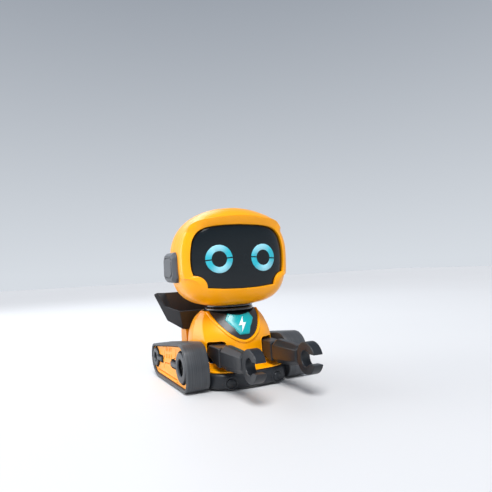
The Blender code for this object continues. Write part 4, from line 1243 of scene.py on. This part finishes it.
def build_bin():
    hopper = mesh_object("hopper", bin_sheet())
    mod = hopper.modifiers.new("wall", "SOLIDIFY")
    mod.thickness = BIN_WALL * MM
    mod.offset = -1.0
    mod.use_even_offset = True
    apply_modifiers(hopper)
    finish_piece(hopper, CHARCOAL_SOFT, "chassis", "charcoal_plastic", ["rear_bin"], bevel=0.4,
                 angle=15.0)
    outline = rounded([(22.2, 12.0), (36.0, 12.0), (36.0, 33.0), (35.0, 35.6), (25.2, 34.6),
                       (23.4, 33.0)], 1.0, 3)
    piece("hopper_saddle", prism(outline, "X", -SADDLE_HALF, SADDLE_HALF), ORANGE_DEEP,
          "chassis", "orange_shell", ["bin_saddle"], bevel=0.5, segments=2)


# -------------------------------------------------------- camera and light

CAMERA_AT = (-143.3, -337.6, 81.5)
CAMERA_HEADING = math.radians(25.81)
CAMERA_PITCH = math.radians(2.44)
CAMERA_ROLL = math.radians(2.75)
SENSOR_W = 36.0
FOCAL_LENGTH = 35.122
HORIZON = (0.68, 0.72, 0.77)
ZENITH = (0.2, 0.23, 0.28)
# Places and sizes of the stage are metres, and powers are watts.
FLOOR_HALF = 3.0
TARGET = (0.0, 0.0, 0.07)
SUN_AT = (-0.25, -0.5, 1.0)
SUN_STRENGTH = 3.3
SUN_ANGLE = math.radians(30.0)


def aim(obj, target):
    direction = Vector(target) - obj.location
    obj.rotation_euler = direction.to_track_quat("-Z", "Y").to_euler()


def add_area(name, at, size, power, color=(1.0, 1.0, 1.0), mirrored=True):
    """Soft box aimed at the robot; one that isn't mirrored stays out of reflections."""
    light = bpy.data.lights.new(name, "AREA")
    light.shape = "RECTANGLE"
    light.size, light.size_y = size
    light.energy = power
    light.color = color
    obj = add_object(name, light, at)
    obj.visible_glossy = mirrored
    aim(obj, TARGET)


def build_camera():
    data = bpy.data.cameras.new("camera")
    data.sensor_width = SENSOR_W
    data.lens = FOCAL_LENGTH
    data.clip_start = 0.01
    cam = add_object("camera", data)
    level = math.cos(CAMERA_PITCH)
    forward = Vector((math.sin(CAMERA_HEADING) * level, math.cos(CAMERA_HEADING) * level,
                      math.sin(CAMERA_PITCH)))
    turn = forward.to_track_quat("-Z", "Y").to_matrix().to_4x4()
    x, y, z = CAMERA_AT
    cam.matrix_world = (Matrix.Translation((x * MM, (y + SHIFT_Y) * MM, z * MM))
                        @ turn @ Matrix.Rotation(-CAMERA_ROLL, 4, "Z"))
    bpy.context.scene.camera = cam


def build_floor():
    h = FLOOR_HALF
    floor = bpy.data.meshes.new("floor")
    floor.from_pydata([(-h, -h, 0), (h, -h, 0), (h, h, 0), (-h, h, 0)], [], [(0, 1, 2, 3)])
    obj = add_object("floor", floor)
    mat, graph, sockets = new_material("floor_paint")
    tone = graph.mix(graph.noise(graph.coords(), 3.0), (0.64, 0.64, 0.65), (0.67, 0.67, 0.68))
    graph.feed(sockets["Base Color"], tone)
    graph.feed(sockets["Roughness"], 0.55)
    floor.materials.append(mat)


def build_world():
    """Pale room: light at the horizon, darker overhead."""
    world = bpy.data.worlds.new("studio")
    bpy.context.scene.world = world
    graph = Graph(world)
    rise = graph.nodes.new("ShaderNodeSeparateXYZ")
    graph.feed(rise.inputs["Vector"], graph.coords("Generated"))
    level = graph.span(rise.outputs["Z"], 0.0, 1.0, 0.0, 0.7)
    graph.feed(graph.nodes["Background"].inputs["Color"], graph.mix(level, HORIZON, ZENITH))
    bpy.context.scene.view_settings.view_transform = "Standard"


def build_lights():
    add_area("side_left", (-0.82, 0.5, 0.3), (0.8, 0.8), 7.0, (1.0, 0.98, 0.95))
    add_area("top_back", (-0.15, 0.75, 0.7), (0.9, 0.5), 3.0, (0.85, 0.93, 1.0))
    add_area("front_fill", (-0.35, -1.0, 0.1), (0.7, 0.4), 1.2, mirrored=False)
    key = bpy.data.lights.new("key", "SUN")
    key.energy = SUN_STRENGTH
    key.angle = SUN_ANGLE
    aim(add_object("key", key, SUN_AT), TARGET)


def paint_frame():
    """Gives each CAD node that stays in view its worked material."""
    paints = {
        CHARCOAL: ("base_plate",), CHARCOAL_SOFT: ("battery_cover",),
        JACKET: ("battery_cell_1", "battery_cell_2"), BOARD: ("main_board", "eye_light_board"),
        STEEL: ("battery_screw", "case_screw_right", "case_screw_left", "motor_right",
                "motor_left"),
        ACETAL: ("battery_tray", "motor_pinion_right", "motor_pinion_left",
                 "drive_wheel_right", "drive_wheel_left", "nose_roller"),
        RUBBER: ("drive_tyre_right", "drive_tyre_left"), HUB_BLACK_AND_SHADE: ("speaker",),
        LENS: ("line_sensor",), RED: ("power_button",)}
    for mat, names in paints.items():
        for name in names:
            for material_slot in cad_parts[name].material_slots:
                material_slot.material = mat


build_camera()
build_floor()
build_world()
build_lights()
paint_frame()
build_head()
build_bell()
build_chest()
build_neck()
build_chassis()
build_tracks()
build_arms()
build_bin()
